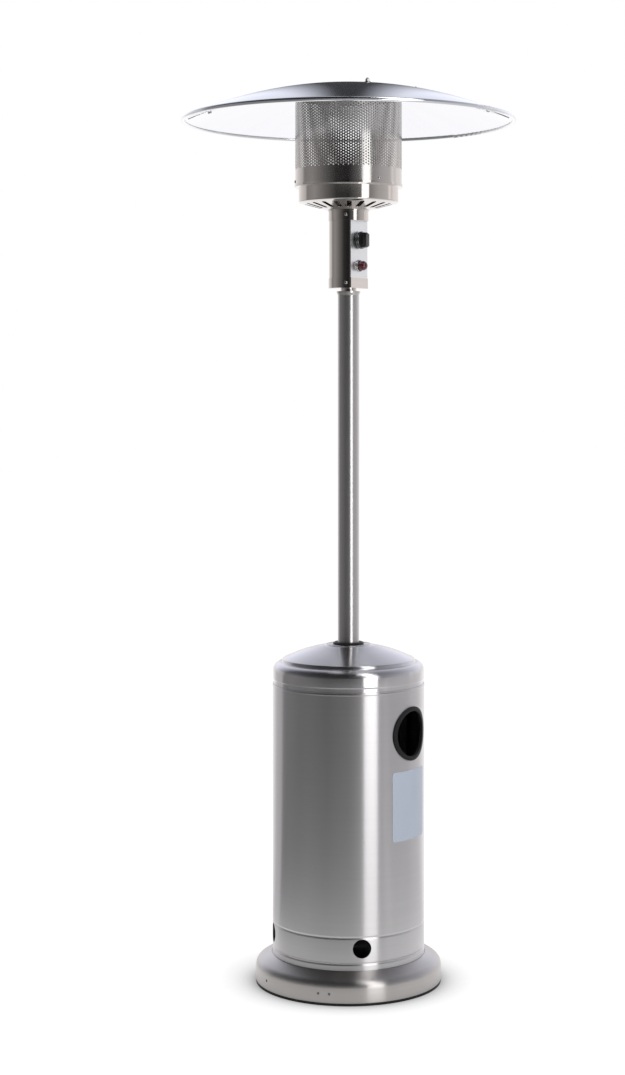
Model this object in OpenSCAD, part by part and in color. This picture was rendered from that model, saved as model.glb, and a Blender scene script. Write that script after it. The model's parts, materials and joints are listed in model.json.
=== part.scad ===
// Mushroom-type gas patio heater: base, lift-up cylinder housing, pole, burner head and reflector.
// Millimetres, +Z up. The origin is on the ground at the centre of the base, and the controls face -Y.
// Angles around the heater count from the front, positive towards +X.

/* [Base] */
// Diameter of the base dish
base_d = 457; // [430:1:520]
// Height of the upright rim
base_rim_h = 40; // [30:1:60]
// Radius of the rounded shoulder above the rim
base_shoulder = 21; // [10:1:28]
// Slope from the shoulder up to the housing's seat, in degrees
base_slope = 25; // [15:1:35]
// Sheet thickness of the base
base_wall = 1.5; // [1:0.1:2.5]
// Width of the turned-in foot lip
base_lip = 16; // [10:1:30]
// Height of the edge trim under the lip
trim_h = 5; // [3:0.5:10]
// Height of the raised floor above the housing's seat
floor_step = 8; // [6:0.5:14]
// Diameter of the wheel-kit holes
wheel_hole_d = 6.5; // [4:0.1:9]
// Distance between the two holes of a pair
wheel_hole_gap = 27; // [18:1:40]
// Depth of the wheel-kit holes below the top of the rim
wheel_hole_drop = 12; // [8:1:18]

/* [Housing] */
// Outside diameter of the cylinder housing
housing_d = 374; // [350:1:390]
// Height of the plain cylinder, from seat to cap seam
shell_h = 662; // [600:1:720]
// Sheet thickness of the cylinder and cap
housing_wall = 1; // [0.8:0.1:1.5]
// Height of the lower pressed groove above the seat
lower_groove = 16; // [12:1:24]
// Height of the upper pressed groove above the seat
upper_groove = 78; // [70:1:100]
// Depth of the pressed grooves
groove_depth = 1.5; // [0.8:0.1:2.5]
// Diameter of the air vents
vent_d = 45; // [30:1:50]
// Height of the air vents above the seat
vent_rise = 52; // [45:1:58]
// Diameter of the handhold opening, inside its ring
handhold_d = 109; // [90:1:120]
// Width of the handhold ring's flange
handhold_flange = 10.5; // [8:0.5:15]
// Depth of the handhold's centre below the cap seam
handhold_drop = 109; // [90:1:130]
// Height of the cap's upright skirt above the seam
cap_skirt = 32; // [26:1:50]
// Radius of the cap's rounded shoulder
cap_shoulder = 20; // [12:1:26]
// Height of the pressed step between shoulder and dome
step_h = 8; // [5:0.5:12]
// Rise of the dome from the step to the neck
dome_rise = 35; // [20:1:45]
// Diameter of the bushing's flange round the pole
bushing_d = 76; // [68:1:90]

/* [Stand] */
// Width of the flat-bar legs
leg_w = 30; // [20:1:40]
// Thickness of the flat-bar legs
leg_t = 5; // [4:0.5:6]
// Length of each leg's foot
foot_len = 42; // [40:1:55]
// Diameter of the leg bolts
leg_bolt_d = 8; // [6:1:8]
// Rise of each leg's sloping arm
arm_rise = 60; // [40:1:90]
// Diameter of the plate that carries the pole
plate_d = 150; // [140:1:180]
// Thickness of that plate
plate_t = 6; // [4:0.5:10]
// Depth of the plate's underside below the cap seam
plate_drop = 19; // [10:1:40]

/* [Pole] */
// Outside diameter of the pole
pole_d = 53; // [48:0.5:54]
// Wall of the pole
pole_wall = 1.5; // [1.2:0.1:3]
// Length of the pole
pole_len = 969; // [800:1:1100]
// Height of the flare at the pole's top
flare_h = 10; // [6:0.5:16]
// Width added by the flare on each side
flare_w = 3; // [1:0.5:6]
// Diameter of the neck between flare and control head
neck_d = 39; // [36:0.5:42]
// Visible height of the neck
neck_h = 7; // [5:0.5:15]
// Diameter of the gas pipe inside the pole
pipe_d = 10; // [8:0.5:12]
// Diameter of the gas inlet's threaded end
inlet_d = 13.2; // [10:0.1:16]
// Length of the gas inlet's threaded end
inlet_len = 14; // [10:1:20]

/* [Control head] */
// Diameter of the control head's wrap
control_d = 96; // [90:0.5:104]
// Height of the control head
control_h = 193; // [185:1:220]
// Distance of the flat front panel from the pole's axis
panel_y = 32; // [30:0.5:36]
// Sheet thickness of the control head
control_wall = 1.2; // [1:0.1:2]
// Height of the bottom collar
low_collar_h = 25; // [18:1:30]
// Height of the top collar
top_collar_h = 27; // [20:1:35]
// Height of the knob's centre above the control head's underside
knob_rise = 118; // [112:1:122]
// Diameter of the control knob
knob_d = 43; // [36:0.5:48]
// Depth of the knob, from skirt to grip
knob_depth = 21; // [16:0.5:26]
// Travel of the knob when it is pushed in
knob_travel = 3; // [2:0.5:4]
// Height of the igniter's centre above the control head's underside
igniter_rise = 55; // [50:1:58]
// Diameter of the igniter button
button_d = 23.6; // [18:0.1:25]
// Length that the button stands proud of the panel
button_proud = 23; // [14:0.5:26]
// Travel of the igniter button
button_travel = 5; // [3:0.5:6]

/* [Burner] */
// Diameter of the burner bowl's wall
bowl_d = 246; // [230:1:256]
// Rise of the bowl's slotted underside
bowl_rise = 19; // [12:1:30]
// Height of the bowl's upright wall
bowl_wall_h = 37; // [25:1:50]
// Sheet thickness of the bowl
bowl_t = 1; // [0.8:0.1:1.5]
// Width of the bowl's flange
bowl_flange = 10.5; // [8.5:0.5:14]
// Height of the bowl's turned-up lip
bowl_lip = 7; // [4:0.5:10]
// Number of slots in the bowl's underside
slot_count = 20; // [12:1:22]
// Width of a slot
slot_w = 12; // [8:0.5:13]
// Length of a slot
slot_len = 42; // [25:1:45]
// Sheet thickness of the emitter screen
screen_t = 0.8; // [0.6:0.1:1.2]
// Height of the emitter screen
screen_h = 233; // [200:1:260]
// Height of the plain band below the holes
screen_band = 44; // [34:1:60]
// Diameter of the screen's holes
mesh_hole_d = 11; // [6:0.5:12]
// Number of holes in one ring
mesh_columns = 34; // [24:1:38]
// Number of rings of holes
mesh_rows = 11; // [8:1:13]
// Diameter of the burner's head
burner_d = 96; // [80:1:104]
// Height of the burner's head
burner_h = 30; // [20:1:40]

/* [Reflector] */
// Diameter of the reflector
reflector_d = 826; // [700:1:900]
// Depth of the reflector, from apex to rim
reflector_depth = 88; // [70:1:130]
// Sheet thickness of the reflector
reflector_t = 1; // [0.8:0.1:1.5]
// Diameter of the rolled rim
rim_bead_d = 11; // [6:0.5:14]
// Height of the reflector's apex above the emitter screen
reflector_rise = 18.5; // [17:0.5:30]
// Direction of one end of the seam between the halves
seam_angle = 35; // [0:1:90]
// Sweep of the lap under the seam, in degrees
lap_sweep = 5; // [4:0.5:8]
// Distance of the inner seam bolts from the axis
seam_bolt_in = 165; // [160:1:200]
// Distance of the outer seam bolts from the axis
seam_bolt_out = 345; // [260:1:360]
// Diameter of the seam bolts
seam_bolt_d = 5; // [4:1:6]
// Distance of the reflector's studs from the axis
stud_circle = 118; // [100:1:120]
// Diameter of the reflector's studs
stud_d = 6; // [5:1:6]

/* [Hidden] */
$fn = 96;
arc_steps = 5;

// Clearances
close_fit = 0.05;
play = 0.3;
slide_play = 0.5;
bolt_play = 0.3;
cut = 1;
hole_reach = 6;

// Angles around the heater
vent_angles = [45, 135, 225, 315];
wheel_pair_angles = [-70, -160];
wheel_middle_angle = -115;
leg_angles = [-75, 75, 180];
collar_screw_angles = [-63, 63, 180];
screen_screw_angles = [-140, -20, 100];
stud_angles = [-152, -32, 88];
bowl_screw_angles = [45, 135, 225, 315];

// Proportions of hexagon bolts and nuts to their thread
hex_ratio = 1.63;
head_ratio = 0.66;
nut_ratio = 0.8;
bolt_end = 2;
bolt_spacing = 1.25;

// Proportions of pan-head screws to their thread
pan_ratio = 2;
pan_edge = 0.5;
pan_crown = 0.75;
pan_h = 2.4;

// Facets of small tubes
tube_facets = 24;

// Size of the ball at a tube's bend, to the tube
ball_ratio = 1.2;

// Sheet paths: each point is [radius, height, bend radius]
function xy(p) = [p.x, p.y];
function unit(v) = v / norm(v);
function left_of(a, b) = let (d = unit(b - a)) [-d.y, d.x];
function turned_by(v, a) = [v.x * cos(a) - v.y * sin(a), v.x * sin(a) + v.y * cos(a)];
function side_of(a, p, b) = sign((p.x - a.x) * (b.y - p.y) - (p.y - a.y) * (b.x - p.x));

// The arc that rounds the corner p between a and b
function corner(a, p, b, r) =
    let (
        u = unit(a - p),
        v = unit(b - p),
        half = acos(u * v) / 2,
        centre = p + unit(u + v) * r / sin(half),
        start = p + u * r / tan(half) - centre,
        sweep = side_of(a, p, b) * (180 - 2 * half)
    )
    [for (i = [0:arc_steps]) centre + turned_by(start, sweep * i / arc_steps)];

function rounded(path) = [
    for (i = [0:len(path) - 1])
        each (i == 0 || i == len(path) - 1 || path[i].z == 0)
            ? [xy(path[i])]
            : corner(xy(path[i - 1]), xy(path[i]), xy(path[i + 1]), path[i].z)
];

function mitre(p, i) =
    i == 0 ? left_of(p[0], p[1]) :
    i == len(p) - 1 ? left_of(p[i - 1], p[i]) :
    let (m = left_of(p[i - 1], p[i]), n = left_of(p[i], p[i + 1])) (m + n) / (1 + m * n);

// Outline of a sheet whose skin follows the points, with its thickness on their left
function ribbon(p, t) = concat(
    p,
    [for (i = [len(p) - 1:-1:0]) let (q = p[i] + t * mitre(p, i)) [max(q.x, 0), q.y]]
);
function sheet(path, t) = ribbon(rounded(path), t);
function bend(t) = 2 * t;

// Base
base_r = base_d / 2;
housing_r = housing_d / 2;
housing_in = housing_r - housing_wall;
seat_ledge = 3;
seat_r = housing_r + seat_ledge;
spigot_gap = 4.5;
spigot_r = housing_in - spigot_gap;
trim_inset = 0.5;
base_corner_z = base_rim_h + base_shoulder / tan(45 + base_slope / 2);
seat_z = base_corner_z + (base_r - seat_r) * tan(base_slope);
floor_z = seat_z + floor_step;
wheel_hole_z = base_rim_h - wheel_hole_drop;
base_path = [
    [base_r - base_lip, trim_h, 0],
    [base_r, trim_h, bend(base_wall)],
    [base_r, base_corner_z, base_shoulder],
    [seat_r, seat_z, bend(base_wall)],
    [spigot_r, seat_z, bend(base_wall)],
    [spigot_r, floor_z, bend(base_wall)],
    [0, floor_z, 0]
];

// Housing
shell_z = seat_z + play;
seam_z = shell_z + shell_h;
handhold_z = seam_z - handhold_drop;
handhold_r = handhold_d / 2;
handhold_wall = 1.8;
handhold_proud = 3.5;
handhold_hole_r = handhold_r + handhold_wall + close_fit;
groove_half = 4;
hem_half = 2.5;
hem_depth = 1;
joggle_h = 16;
cap_in_r = housing_in - play;
cap_band = 12;
cap_flare = 3;
cap_top_z = seam_z + cap_skirt + cap_shoulder;
crease_flat = 2;
crease_r = housing_r - cap_shoulder - crease_flat;
step_lean = 2;
step_z = cap_top_z + step_h;
neck_z = step_z + dome_rise;
neck_step = 2;
neck_ring = 20;
bushing_r = bushing_d / 2;
bushing_flange = 5;
bushing_shank_r = bushing_r - bushing_flange;
bushing_lip = 1.3;
bushing_drop = 8;
bushing_lip_drop = 6;
bushing_edge = 3;
bushing_h = 5;
cap_hole_r = bushing_shank_r + play;
neck_ring_r = bushing_r + neck_ring;
dome_edge_r = crease_r - step_lean;
dome_mid_r = (dome_edge_r + neck_ring_r) / 2;
dome_crown = 0.3;
dome_mid_z = neck_z - neck_step - (dome_rise - neck_step) * dome_crown;
dome_bend = 2 * crease_r;
function groove_path(z, depth, half) = [
    [housing_r, z - half, half],
    [housing_r - depth, z, half],
    [housing_r, z + half, half]
];
shell_path = concat(
    [[housing_r, shell_z, 0]],
    groove_path(shell_z + lower_groove, groove_depth, groove_half),
    groove_path(shell_z + upper_groove, groove_depth, groove_half),
    groove_path(seam_z - 2 * hem_half, -hem_depth, hem_half),
    [[housing_r, seam_z, 0]]
);
cap_path = [
    [cap_in_r, seam_z - joggle_h, 0],
    [cap_in_r, seam_z + cap_band - cap_flare, bend(housing_wall)],
    [housing_r, seam_z + cap_band, bend(housing_wall)],
    [housing_r, cap_top_z, cap_shoulder],
    [crease_r, cap_top_z, bend(housing_wall)],
    [dome_edge_r, step_z, 2 * bend(housing_wall)],
    [dome_mid_r, dome_mid_z, dome_bend],
    [neck_ring_r, neck_z - neck_step, bend(housing_wall)],
    [neck_ring_r - neck_step, neck_z, bend(housing_wall)],
    [cap_hole_r, neck_z, 0]
];

// Stand
leg_gap = 0.5;
leg_r = spigot_r - bend(base_wall) - leg_gap;
leg_bolt_r = leg_bolt_d / 2;
leg_bolt_hole_r = leg_bolt_r + bolt_play;
leg_bend = 2 * leg_t;
plate_z = seam_z - plate_drop;
plate_r = plate_d / 2;
plate_top = plate_z + plate_t;
pole_r = pole_d / 2;
pole_in = pole_r - pole_wall;
socket_wall = 3.5;
socket_h = 22;
bolt_head_r = leg_bolt_d * hex_ratio / 2 / cos(30);
bolt_row = leg_bolt_d * hex_ratio * bolt_spacing;
foot_bolt_r = leg_r - leg_bend - bolt_head_r - play;
foot_bolts = [foot_bolt_r - bolt_row, foot_bolt_r];
arm_inset = 14;
arm_bolts = [plate_r - arm_inset, plate_r - arm_inset - bolt_row];
tab_margin = 10;
tab_in_r = arm_bolts[1] - tab_margin;
leg_path = [
    [leg_r - foot_len, floor_z, 0],
    [leg_r, floor_z, leg_bend],
    [leg_r, plate_z - arm_rise, leg_bend],
    [plate_r + leg_bend, plate_z, leg_bend],
    [tab_in_r, plate_z, 0]
];

// Pole and gas pipe
pole_top = plate_top + pole_len;
flare_lip = 2.5;
spigot_len = 30;
neck_r = neck_d / 2;
neck_wall = 2;
control_z = pole_top + flare_h + neck_h;
neck_thread = 12;
neck_nut_w = neck_d + 8;
pipe_r = pipe_d / 2;
pipe_gap = 1.5;
pipe_wall = 1;
pipe_y = neck_r - neck_wall - pipe_r - pipe_gap;
inlet_r = inlet_d / 2;
inlet_hex_ratio = 1.45;
inlet_hex = inlet_d * inlet_hex_ratio;
inlet_hex_h = 12;
inlet_wall = 3;
inlet_shank_r = pipe_r + inlet_wall;
inlet_bore_r = 3;
inlet_socket = 10;

// Control head
control_r = control_d / 2;
control_in = control_r - control_wall;
panel_back = panel_y - control_wall;
panel_half = sqrt(control_r * control_r - panel_y * panel_y) - close_fit;
collar_in = control_r + close_fit;
collar_r = collar_in + control_wall;
collar_flat_in = panel_y + close_fit;
collar_flat = collar_flat_in + control_wall;
control_top = control_z + control_h;
top_collar_z = control_top - top_collar_h;
collar_flange = 1.8;
collar_flange_h = 3;
head_hole_r = 38;
collar_screw_r = 2;
collar_screw_grip = 6;
collar_screw_heights = [control_z + low_collar_h / 2, control_top - top_collar_h / 2];
knob_z = control_z + knob_rise;
knob_r = knob_d / 2;
knob_skirt = 6;
grip_w = 14;
spindle_r = 4;
spindle_in = 10;
spring_cap_r = 9;
spring_cap_t = 1.5;
spring_cap_y = panel_y + knob_travel + play;
knob_back_y = spring_cap_y + spring_cap_t;
knob_face = 5;
knob_bore = knob_depth - knob_face;
knob_chamfer = 2;
grip_inset = 1;
grip_edge = 3;
valve_half = 20;
valve_half_h = 24;
valve_wall = 3;
valve_depth = pipe_y + pipe_r + valve_wall;
valve_boss_r = 8.5;
valve_top = knob_z + valve_half_h;
boss_h = 8;
boss_wall = 2.5;
igniter_z = control_z + igniter_rise;
button_r = button_d / 2;
igniter_bore_r = button_r + play;
igniter_wall = 0.9;
igniter_neck_r = igniter_bore_r + igniter_wall;
igniter_flange = 2.5;
igniter_gap = 3;
bezel_wall = 2;
bezel_h = 4;
bezel_edge = 1.5;
bezel_chamfer = 1;
button_tail = 1;
button_spare = 1;
button_dome = 0.9 * button_r;
button_steps = 10;
button_back_y = panel_back - button_tail;
igniter_floor_y = button_back_y - button_travel - button_spare;
igniter_end_y = pipe_y - pipe_r - igniter_gap;
tilt_size = [18, 16, 30];

// Burner
bowl_r = bowl_d / 2;
bowl_z = control_top;
bowl_hole_gap = 2;
bowl_hole_r = head_hole_r + bowl_hole_gap;
knee_bend = 3 * bowl_t;
lip_bend = 1.5 * bowl_t;
bowl_seat_r = collar_r + collar_flange;
bowl_knee_z = bowl_z + bowl_rise;
flange_z = bowl_knee_z + bowl_wall_h;
flange_r = bowl_r + bowl_flange;
flange_top = flange_z + bowl_t;
bowl_path = [
    [bowl_hole_r, bowl_z, 0],
    [bowl_seat_r, bowl_z, bend(bowl_t)],
    [bowl_r, bowl_knee_z, knee_bend],
    [bowl_r, flange_z, lip_bend],
    [flange_r, flange_z, lip_bend],
    [flange_r, flange_z + bowl_lip, 0]
];
bowl_screw_circle = (bowl_hole_r + bowl_seat_r) / 2;
small_screw_r = 1.5;
slot_circle = (bowl_seat_r + bowl_r) / 2;
screen_r = flange_r - lip_bend - play;
screen_in = screen_r - screen_t;
screen_top = flange_top + screen_h;
screen_margin = 8;
mesh_pitch = (screen_h - screen_band - screen_margin - mesh_hole_d) / (mesh_rows - 1);
pan_t = 1.2;
pan_r = screen_in - play;
pan_rim = 20;
pan_top = flange_top + pan_t;
screen_screw_rise = 6;
screen_screw_z = flange_top + bowl_lip + screen_screw_rise;
venturi_in = 11.8;
venturi_wall = 1.2;
venturi_r = venturi_in + venturi_wall;
venturi_floor = 3;
venturi_drop = 4;
venturi_z = control_top - venturi_drop;
air_port_r = 6;
air_port_gap = 4;
air_port_z = venturi_z + venturi_floor + air_port_r + air_port_gap;
jet_r = 5;
jet_bore_r = 1;
jet_tip = venturi_floor + 4;
jet_hex = 17;
jet_hex_h = 9;
supply_r = 4;
burner_r = burner_d / 2;
burner_wall = 1.5;
burner_ports = 18;
port_r = 3;
burner_shoulder_z = 0.7 * burner_h;
burner_crown_r = 0.8 * burner_r;
port_z = 0.4 * burner_h;
pilot_space = 14;
pilot_y = burner_r + pilot_space;
pilot_gap = 13;
pilot_h = 30;
pilot_tube_r = 2;
pilot_wall = 1.2;
pilot_stem_r = pilot_tube_r + pilot_wall;
pilot_cap_h = 8;
pilot_cup_h = 6;
pilot_cup_r = pilot_tube_r + 1;
bracket_t = 1.5;
bracket_half = 7;
bracket_h = 12;
probe_h = pilot_h - 10;
probe_tip = 14;
ceramic_h = pilot_h - 8;
electrode_r = 1;
electrode_tip = 12;
lead_r = 1.5;
lead_entry = 6;
lead_entry_z = control_top + lead_entry;
lead_drop = 16;
lead_bend_z = flange_z - lead_drop;
pilot_start = [16, -18];
probe_start = [17, 10];
spark_x = -valve_half - 7;
spark_y = -8;

// Reflector
rim_r = reflector_d / 2;
bead_r = rim_bead_d / 2;
dish_edge = rim_r - bead_r;
dish_r = (dish_edge * dish_edge + reflector_depth * reflector_depth) / (2 * reflector_depth);
apex_z = screen_top + reflector_rise;
dish_centre = apex_z - dish_r;
dish_steps = 16;
dish_slack = 0.2;
joggle_sweep = 1.5;
lap_drop = reflector_t + dish_slack;
lap_end = dish_edge - rim_bead_d;
top_t = 1.2;
top_rim = 14;
top_z = screen_top + top_t;
stud_r = stud_d / 2;
spacer_r = 2.5 * stud_r;
spacer_gap = 2;
lap_start = stud_circle + spacer_r + spacer_gap;
nut_washer_drop = 5;
nut_dome_r = 0.7 * stud_d;
seam_bolt_stand = 2.2 * seam_bolt_d;
seam_hole_reach = 3 * lap_drop;
seam_bolt_r = seam_bolt_d / 2;

// Helper shapes
module at_angle(a) rotate([0, 0, a]) children();

module facing_front(y) translate([0, -y, 0]) rotate([90, 0, 0]) children();

module lathe(points) rotate_extrude() polygon(points);

module ring(outer, inner, h) difference() {
    cylinder(r = outer, h = h);
    translate([0, 0, -cut]) cylinder(r = inner, h = h + 2 * cut);
}

// Hole through the wall that ends at the given radius, along the direction of its angle
module radial_hole(r, z, angle, outer) at_angle(angle) translate([0, 0, z])
    facing_front(outer - 2 * r - hole_reach) cylinder(r = r, h = 2 * r + hole_reach + cut);

module hexagon(d, h) cylinder(d = d / cos(30), h = h, $fn = 6);

// Hexagon bolt with its head on z = 0 and its shank pointing down
module hex_bolt(d, grip) {
    hexagon(d * hex_ratio, d * head_ratio);
    translate([0, 0, -grip]) cylinder(r = d / 2, h = grip + cut / 2);
}

// Hexagon nut standing on z = 0
module hex_nut(d) difference() {
    hexagon(d * hex_ratio, d * nut_ratio);
    translate([0, 0, -cut]) cylinder(r = d / 2 + close_fit, h = d * nut_ratio + 2 * cut);
}

// Pan-head screw with its head on z = 0 and its shank pointing down
module pan_screw(r, grip) {
    lathe([
        [0, 0],
        [pan_ratio * r, 0],
        [pan_ratio * r, pan_h * pan_edge],
        [pan_ratio * r * pan_crown, pan_h],
        [0, pan_h]
    ]);
    translate([0, 0, -grip]) cylinder(r = r, h = grip + cut / 2);
}

// Round tube along straight runs between points, with a slightly larger ball at each bend
module tube_run(points, r) for (i = [0:len(points) - 2]) {
    d = points[i + 1] - points[i];
    translate(points[i]) rotate([0, acos(d.z / norm(d)), atan2(d.y, d.x)])
        cylinder(r = r, h = norm(d), $fn = tube_facets);
    if (i > 0) translate(points[i]) sphere(r = ball_ratio * r, $fn = tube_facets);
}

// Circle with a flat front, for the control head's section
module d_section(r, flat) intersection() {
    circle(r = r);
    translate([-r, -flat]) square([2 * r, r + flat]);
}

// Base and stand
module base_dish() color("silver") difference() {
    lathe(sheet(base_path, base_wall));
    for (a = wheel_pair_angles, side = [-1, 1]) at_angle(a) translate([side * wheel_hole_gap / 2, 0, 0])
        radial_hole(wheel_hole_d / 2, wheel_hole_z, 0, base_r);
    radial_hole(wheel_hole_d / 2, wheel_hole_z, wheel_middle_angle, base_r);
    for (a = leg_angles, r = foot_bolts) at_angle(a) translate([0, -r, floor_z - base_wall - cut])
        cylinder(r = leg_bolt_hole_r, h = base_wall + 2 * cut);
}

module base_edge_trim() color("black") ring(base_r - trim_inset, base_r - base_lip, trim_h);

module leg(angle) color("dimgray") difference() {
    rotate([0, 0, angle - 90]) rotate([90, 0, 0]) linear_extrude(leg_w, center = true)
        polygon(sheet(leg_path, leg_t));
    for (r = foot_bolts) at_angle(angle) translate([0, -r, floor_z - cut])
        cylinder(r = leg_bolt_hole_r, h = leg_t + 2 * cut);
    for (r = arm_bolts) at_angle(angle) translate([0, -r, plate_z - leg_t - cut])
        cylinder(r = leg_bolt_hole_r, h = leg_t + 2 * cut);
}

module leg_foot_bolts() color("gray") for (a = leg_angles, r = foot_bolts) at_angle(a)
    translate([0, -r, floor_z + leg_t])
        hex_bolt(leg_bolt_d, leg_t + base_wall + leg_bolt_d * nut_ratio + bolt_end);

module leg_foot_nuts() color("gray") for (a = leg_angles, r = foot_bolts) at_angle(a)
    translate([0, -r, floor_z - base_wall - leg_bolt_d * nut_ratio]) hex_nut(leg_bolt_d);

module leg_top_bolts() color("gray") for (a = leg_angles, r = arm_bolts) at_angle(a)
    translate([0, -r, plate_top]) hex_bolt(leg_bolt_d, plate_t + leg_t + leg_bolt_d * nut_ratio + bolt_end);

module leg_top_nuts() color("gray") for (a = leg_angles, r = arm_bolts) at_angle(a)
    translate([0, -r, plate_z - leg_t - leg_bolt_d * nut_ratio]) hex_nut(leg_bolt_d);

module pole_plate() color("dimgray") difference() {
    translate([0, 0, plate_z]) union() {
        cylinder(r = plate_r, h = plate_t);
        ring(pole_r + close_fit + socket_wall, pole_r + close_fit, plate_t + socket_h);
    }
    translate([0, pipe_y, plate_z - cut]) cylinder(r = inlet_shank_r + close_fit, h = plate_t + 2 * cut);
    for (a = leg_angles, r = arm_bolts) at_angle(a) translate([0, -r, plate_z - cut])
        cylinder(r = leg_bolt_hole_r, h = plate_t + 2 * cut);
}

module pole() color("silver") translate([0, 0, plate_top]) ring(pole_r, pole_in, pole_len);

module pole_collar() color("silver") translate([0, 0, pole_top]) lathe([
    [neck_r - neck_wall, -spigot_len],
    [pole_in - close_fit, -spigot_len],
    [pole_in - close_fit, 0],
    [pole_r, 0],
    [pole_r + flare_w, flare_h - flare_lip],
    [pole_r + flare_w, flare_h],
    [neck_r, flare_h],
    [neck_r, flare_h + neck_h + neck_thread],
    [neck_r - neck_wall, flare_h + neck_h + neck_thread]
]);

module neck_nut() color("gray") translate([0, 0, control_z + control_wall]) difference() {
    hexagon(neck_nut_w, neck_thread - control_wall - cut);
    translate([0, 0, -cut]) cylinder(r = neck_r + close_fit, h = neck_thread + 2 * cut);
}

module gas_inlet_fitting() color("goldenrod") translate([0, pipe_y, plate_z]) difference() {
    union() {
        translate([0, 0, -inlet_hex_h - inlet_len]) cylinder(r = inlet_r, h = inlet_len + cut);
        translate([0, 0, -inlet_hex_h]) hexagon(inlet_hex, inlet_hex_h);
        cylinder(r = inlet_shank_r, h = plate_t + inlet_socket);
    }
    translate([0, 0, -inlet_hex_h - inlet_len - cut])
        cylinder(r = inlet_bore_r, h = inlet_len + inlet_hex_h + 2 * cut);
    cylinder(r = pipe_r + close_fit, h = plate_t + inlet_socket + cut);
}

module gas_pipe() color("goldenrod") translate([0, pipe_y, plate_z])
    ring(pipe_r, pipe_r - pipe_wall, knob_z - valve_half_h - plate_z - close_fit);

// Lift-up housing
module housing_shell() color("lightgray") difference() {
    lathe(sheet(shell_path, housing_wall));
    for (a = vent_angles) radial_hole(vent_d / 2, shell_z + vent_rise, a, housing_r);
    radial_hole(handhold_hole_r, handhold_z, 0, housing_r);
}

module housing_cap() color("lightgray") lathe(sheet(cap_path, housing_wall));

module pole_bushing() color("black") translate([0, 0, neck_z]) lathe([
    [pole_r + slide_play, -bushing_drop],
    [bushing_shank_r, -bushing_drop],
    [bushing_shank_r + bushing_lip, -bushing_lip_drop],
    [bushing_shank_r + bushing_lip, -housing_wall - close_fit],
    [bushing_shank_r, -housing_wall - close_fit],
    [bushing_shank_r, 0],
    [bushing_r, 0],
    [bushing_r, bushing_edge],
    [bushing_r - bushing_edge, bushing_h],
    [pole_r + slide_play, bushing_h]
]);

// Part of the handhold ring between two radii of the housing, out to a radius of the ring itself
module handhold_band(inner, outer, r) intersection() {
    translate([0, 0, -2 * r]) ring(outer, inner, 4 * r);
    rotate([90, 0, 0]) cylinder(r = r, h = housing_d);
}

module handhold_ring() color("black") translate([0, 0, handhold_z]) difference() {
    union() {
        handhold_band(housing_r + close_fit, housing_r + handhold_proud, handhold_r + handhold_flange);
        handhold_band(housing_in - handhold_proud, housing_r + handhold_proud, handhold_r + handhold_wall);
        handhold_band(housing_in - handhold_proud, housing_in - close_fit, handhold_r + handhold_flange / 2);
    }
    rotate([90, 0, 0]) cylinder(r = handhold_r, h = housing_d);
}

// Control head
module control_shell() color("silver") difference() {
    translate([0, 0, control_z + control_wall]) linear_extrude(control_h - 2 * control_wall) difference() {
        d_section(control_r, panel_back);
        circle(r = control_in);
    }
    collar_screw_holes();
}

module control_panel() color("whitesmoke") difference() {
    translate([-panel_half, -panel_y, control_z + control_wall])
        cube([2 * panel_half, control_wall, control_h - top_collar_h]);
    translate([0, 0, knob_z]) facing_front(0) cylinder(r = valve_boss_r + close_fit, h = panel_y + cut);
    translate([0, 0, igniter_z]) facing_front(0) cylinder(r = igniter_neck_r + close_fit, h = panel_y + cut);
}

module collar_screw_holes() for (a = collar_screw_angles, z = collar_screw_heights)
    radial_hole(collar_screw_r + bolt_play, z, a, collar_r);

module control_bottom_collar() color("silver") difference() {
    translate([0, 0, control_z]) linear_extrude(low_collar_h) d_section(collar_r, collar_flat);
    translate([0, 0, control_z + control_wall]) linear_extrude(low_collar_h)
        d_section(collar_in, collar_flat_in);
    translate([0, 0, control_z - cut]) cylinder(r = neck_r + close_fit, h = control_wall + 2 * cut);
    collar_screw_holes();
}

module control_top_collar() color("silver") difference() {
    translate([0, 0, top_collar_z]) union() {
        lathe([
            [collar_in, 0],
            [collar_r, 0],
            [collar_r, top_collar_h - collar_flange_h],
            [collar_r + collar_flange, top_collar_h - collar_flange_h],
            [collar_r + collar_flange, top_collar_h],
            [head_hole_r, top_collar_h],
            [head_hole_r, top_collar_h - control_wall],
            [collar_in, top_collar_h - control_wall]
        ]);
        linear_extrude(control_wall) intersection() {
            circle(r = (collar_in + collar_r) / 2);
            translate([-collar_r, -collar_r]) square([2 * collar_r, collar_r - collar_flat_in]);
        }
    }
    collar_screw_holes();
}

module collar_screws() color("silver")
    for (a = collar_screw_angles, z = collar_screw_heights)
        at_angle(a) translate([0, -collar_r, z]) rotate([90, 0, 0])
            pan_screw(collar_screw_r, collar_screw_grip);

module gas_valve() color("goldenrod") difference() {
    union() {
        translate([-valve_half, -panel_back, knob_z - valve_half_h])
            cube([2 * valve_half, panel_back + valve_depth, 2 * valve_half_h]);
        translate([0, 0, knob_z]) facing_front(panel_back - cut)
            cylinder(r = valve_boss_r, h = control_wall + cut);
        translate([0, pipe_y, knob_z - valve_half_h - boss_h])
            cylinder(r = pipe_r + boss_wall, h = boss_h + cut);
        translate([0, 0, valve_top - cut]) cylinder(r = supply_r + boss_wall, h = boss_h + cut);
    }
    translate([0, 0, knob_z]) facing_front(0) cylinder(r = spindle_r + close_fit, h = panel_y + cut);
    translate([0, pipe_y, knob_z - valve_half_h - boss_h - cut])
        cylinder(r = pipe_r + close_fit, h = boss_h + cut);
    translate([0, 0, valve_top]) cylinder(r = supply_r + close_fit, h = boss_h + cut);
}

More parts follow.
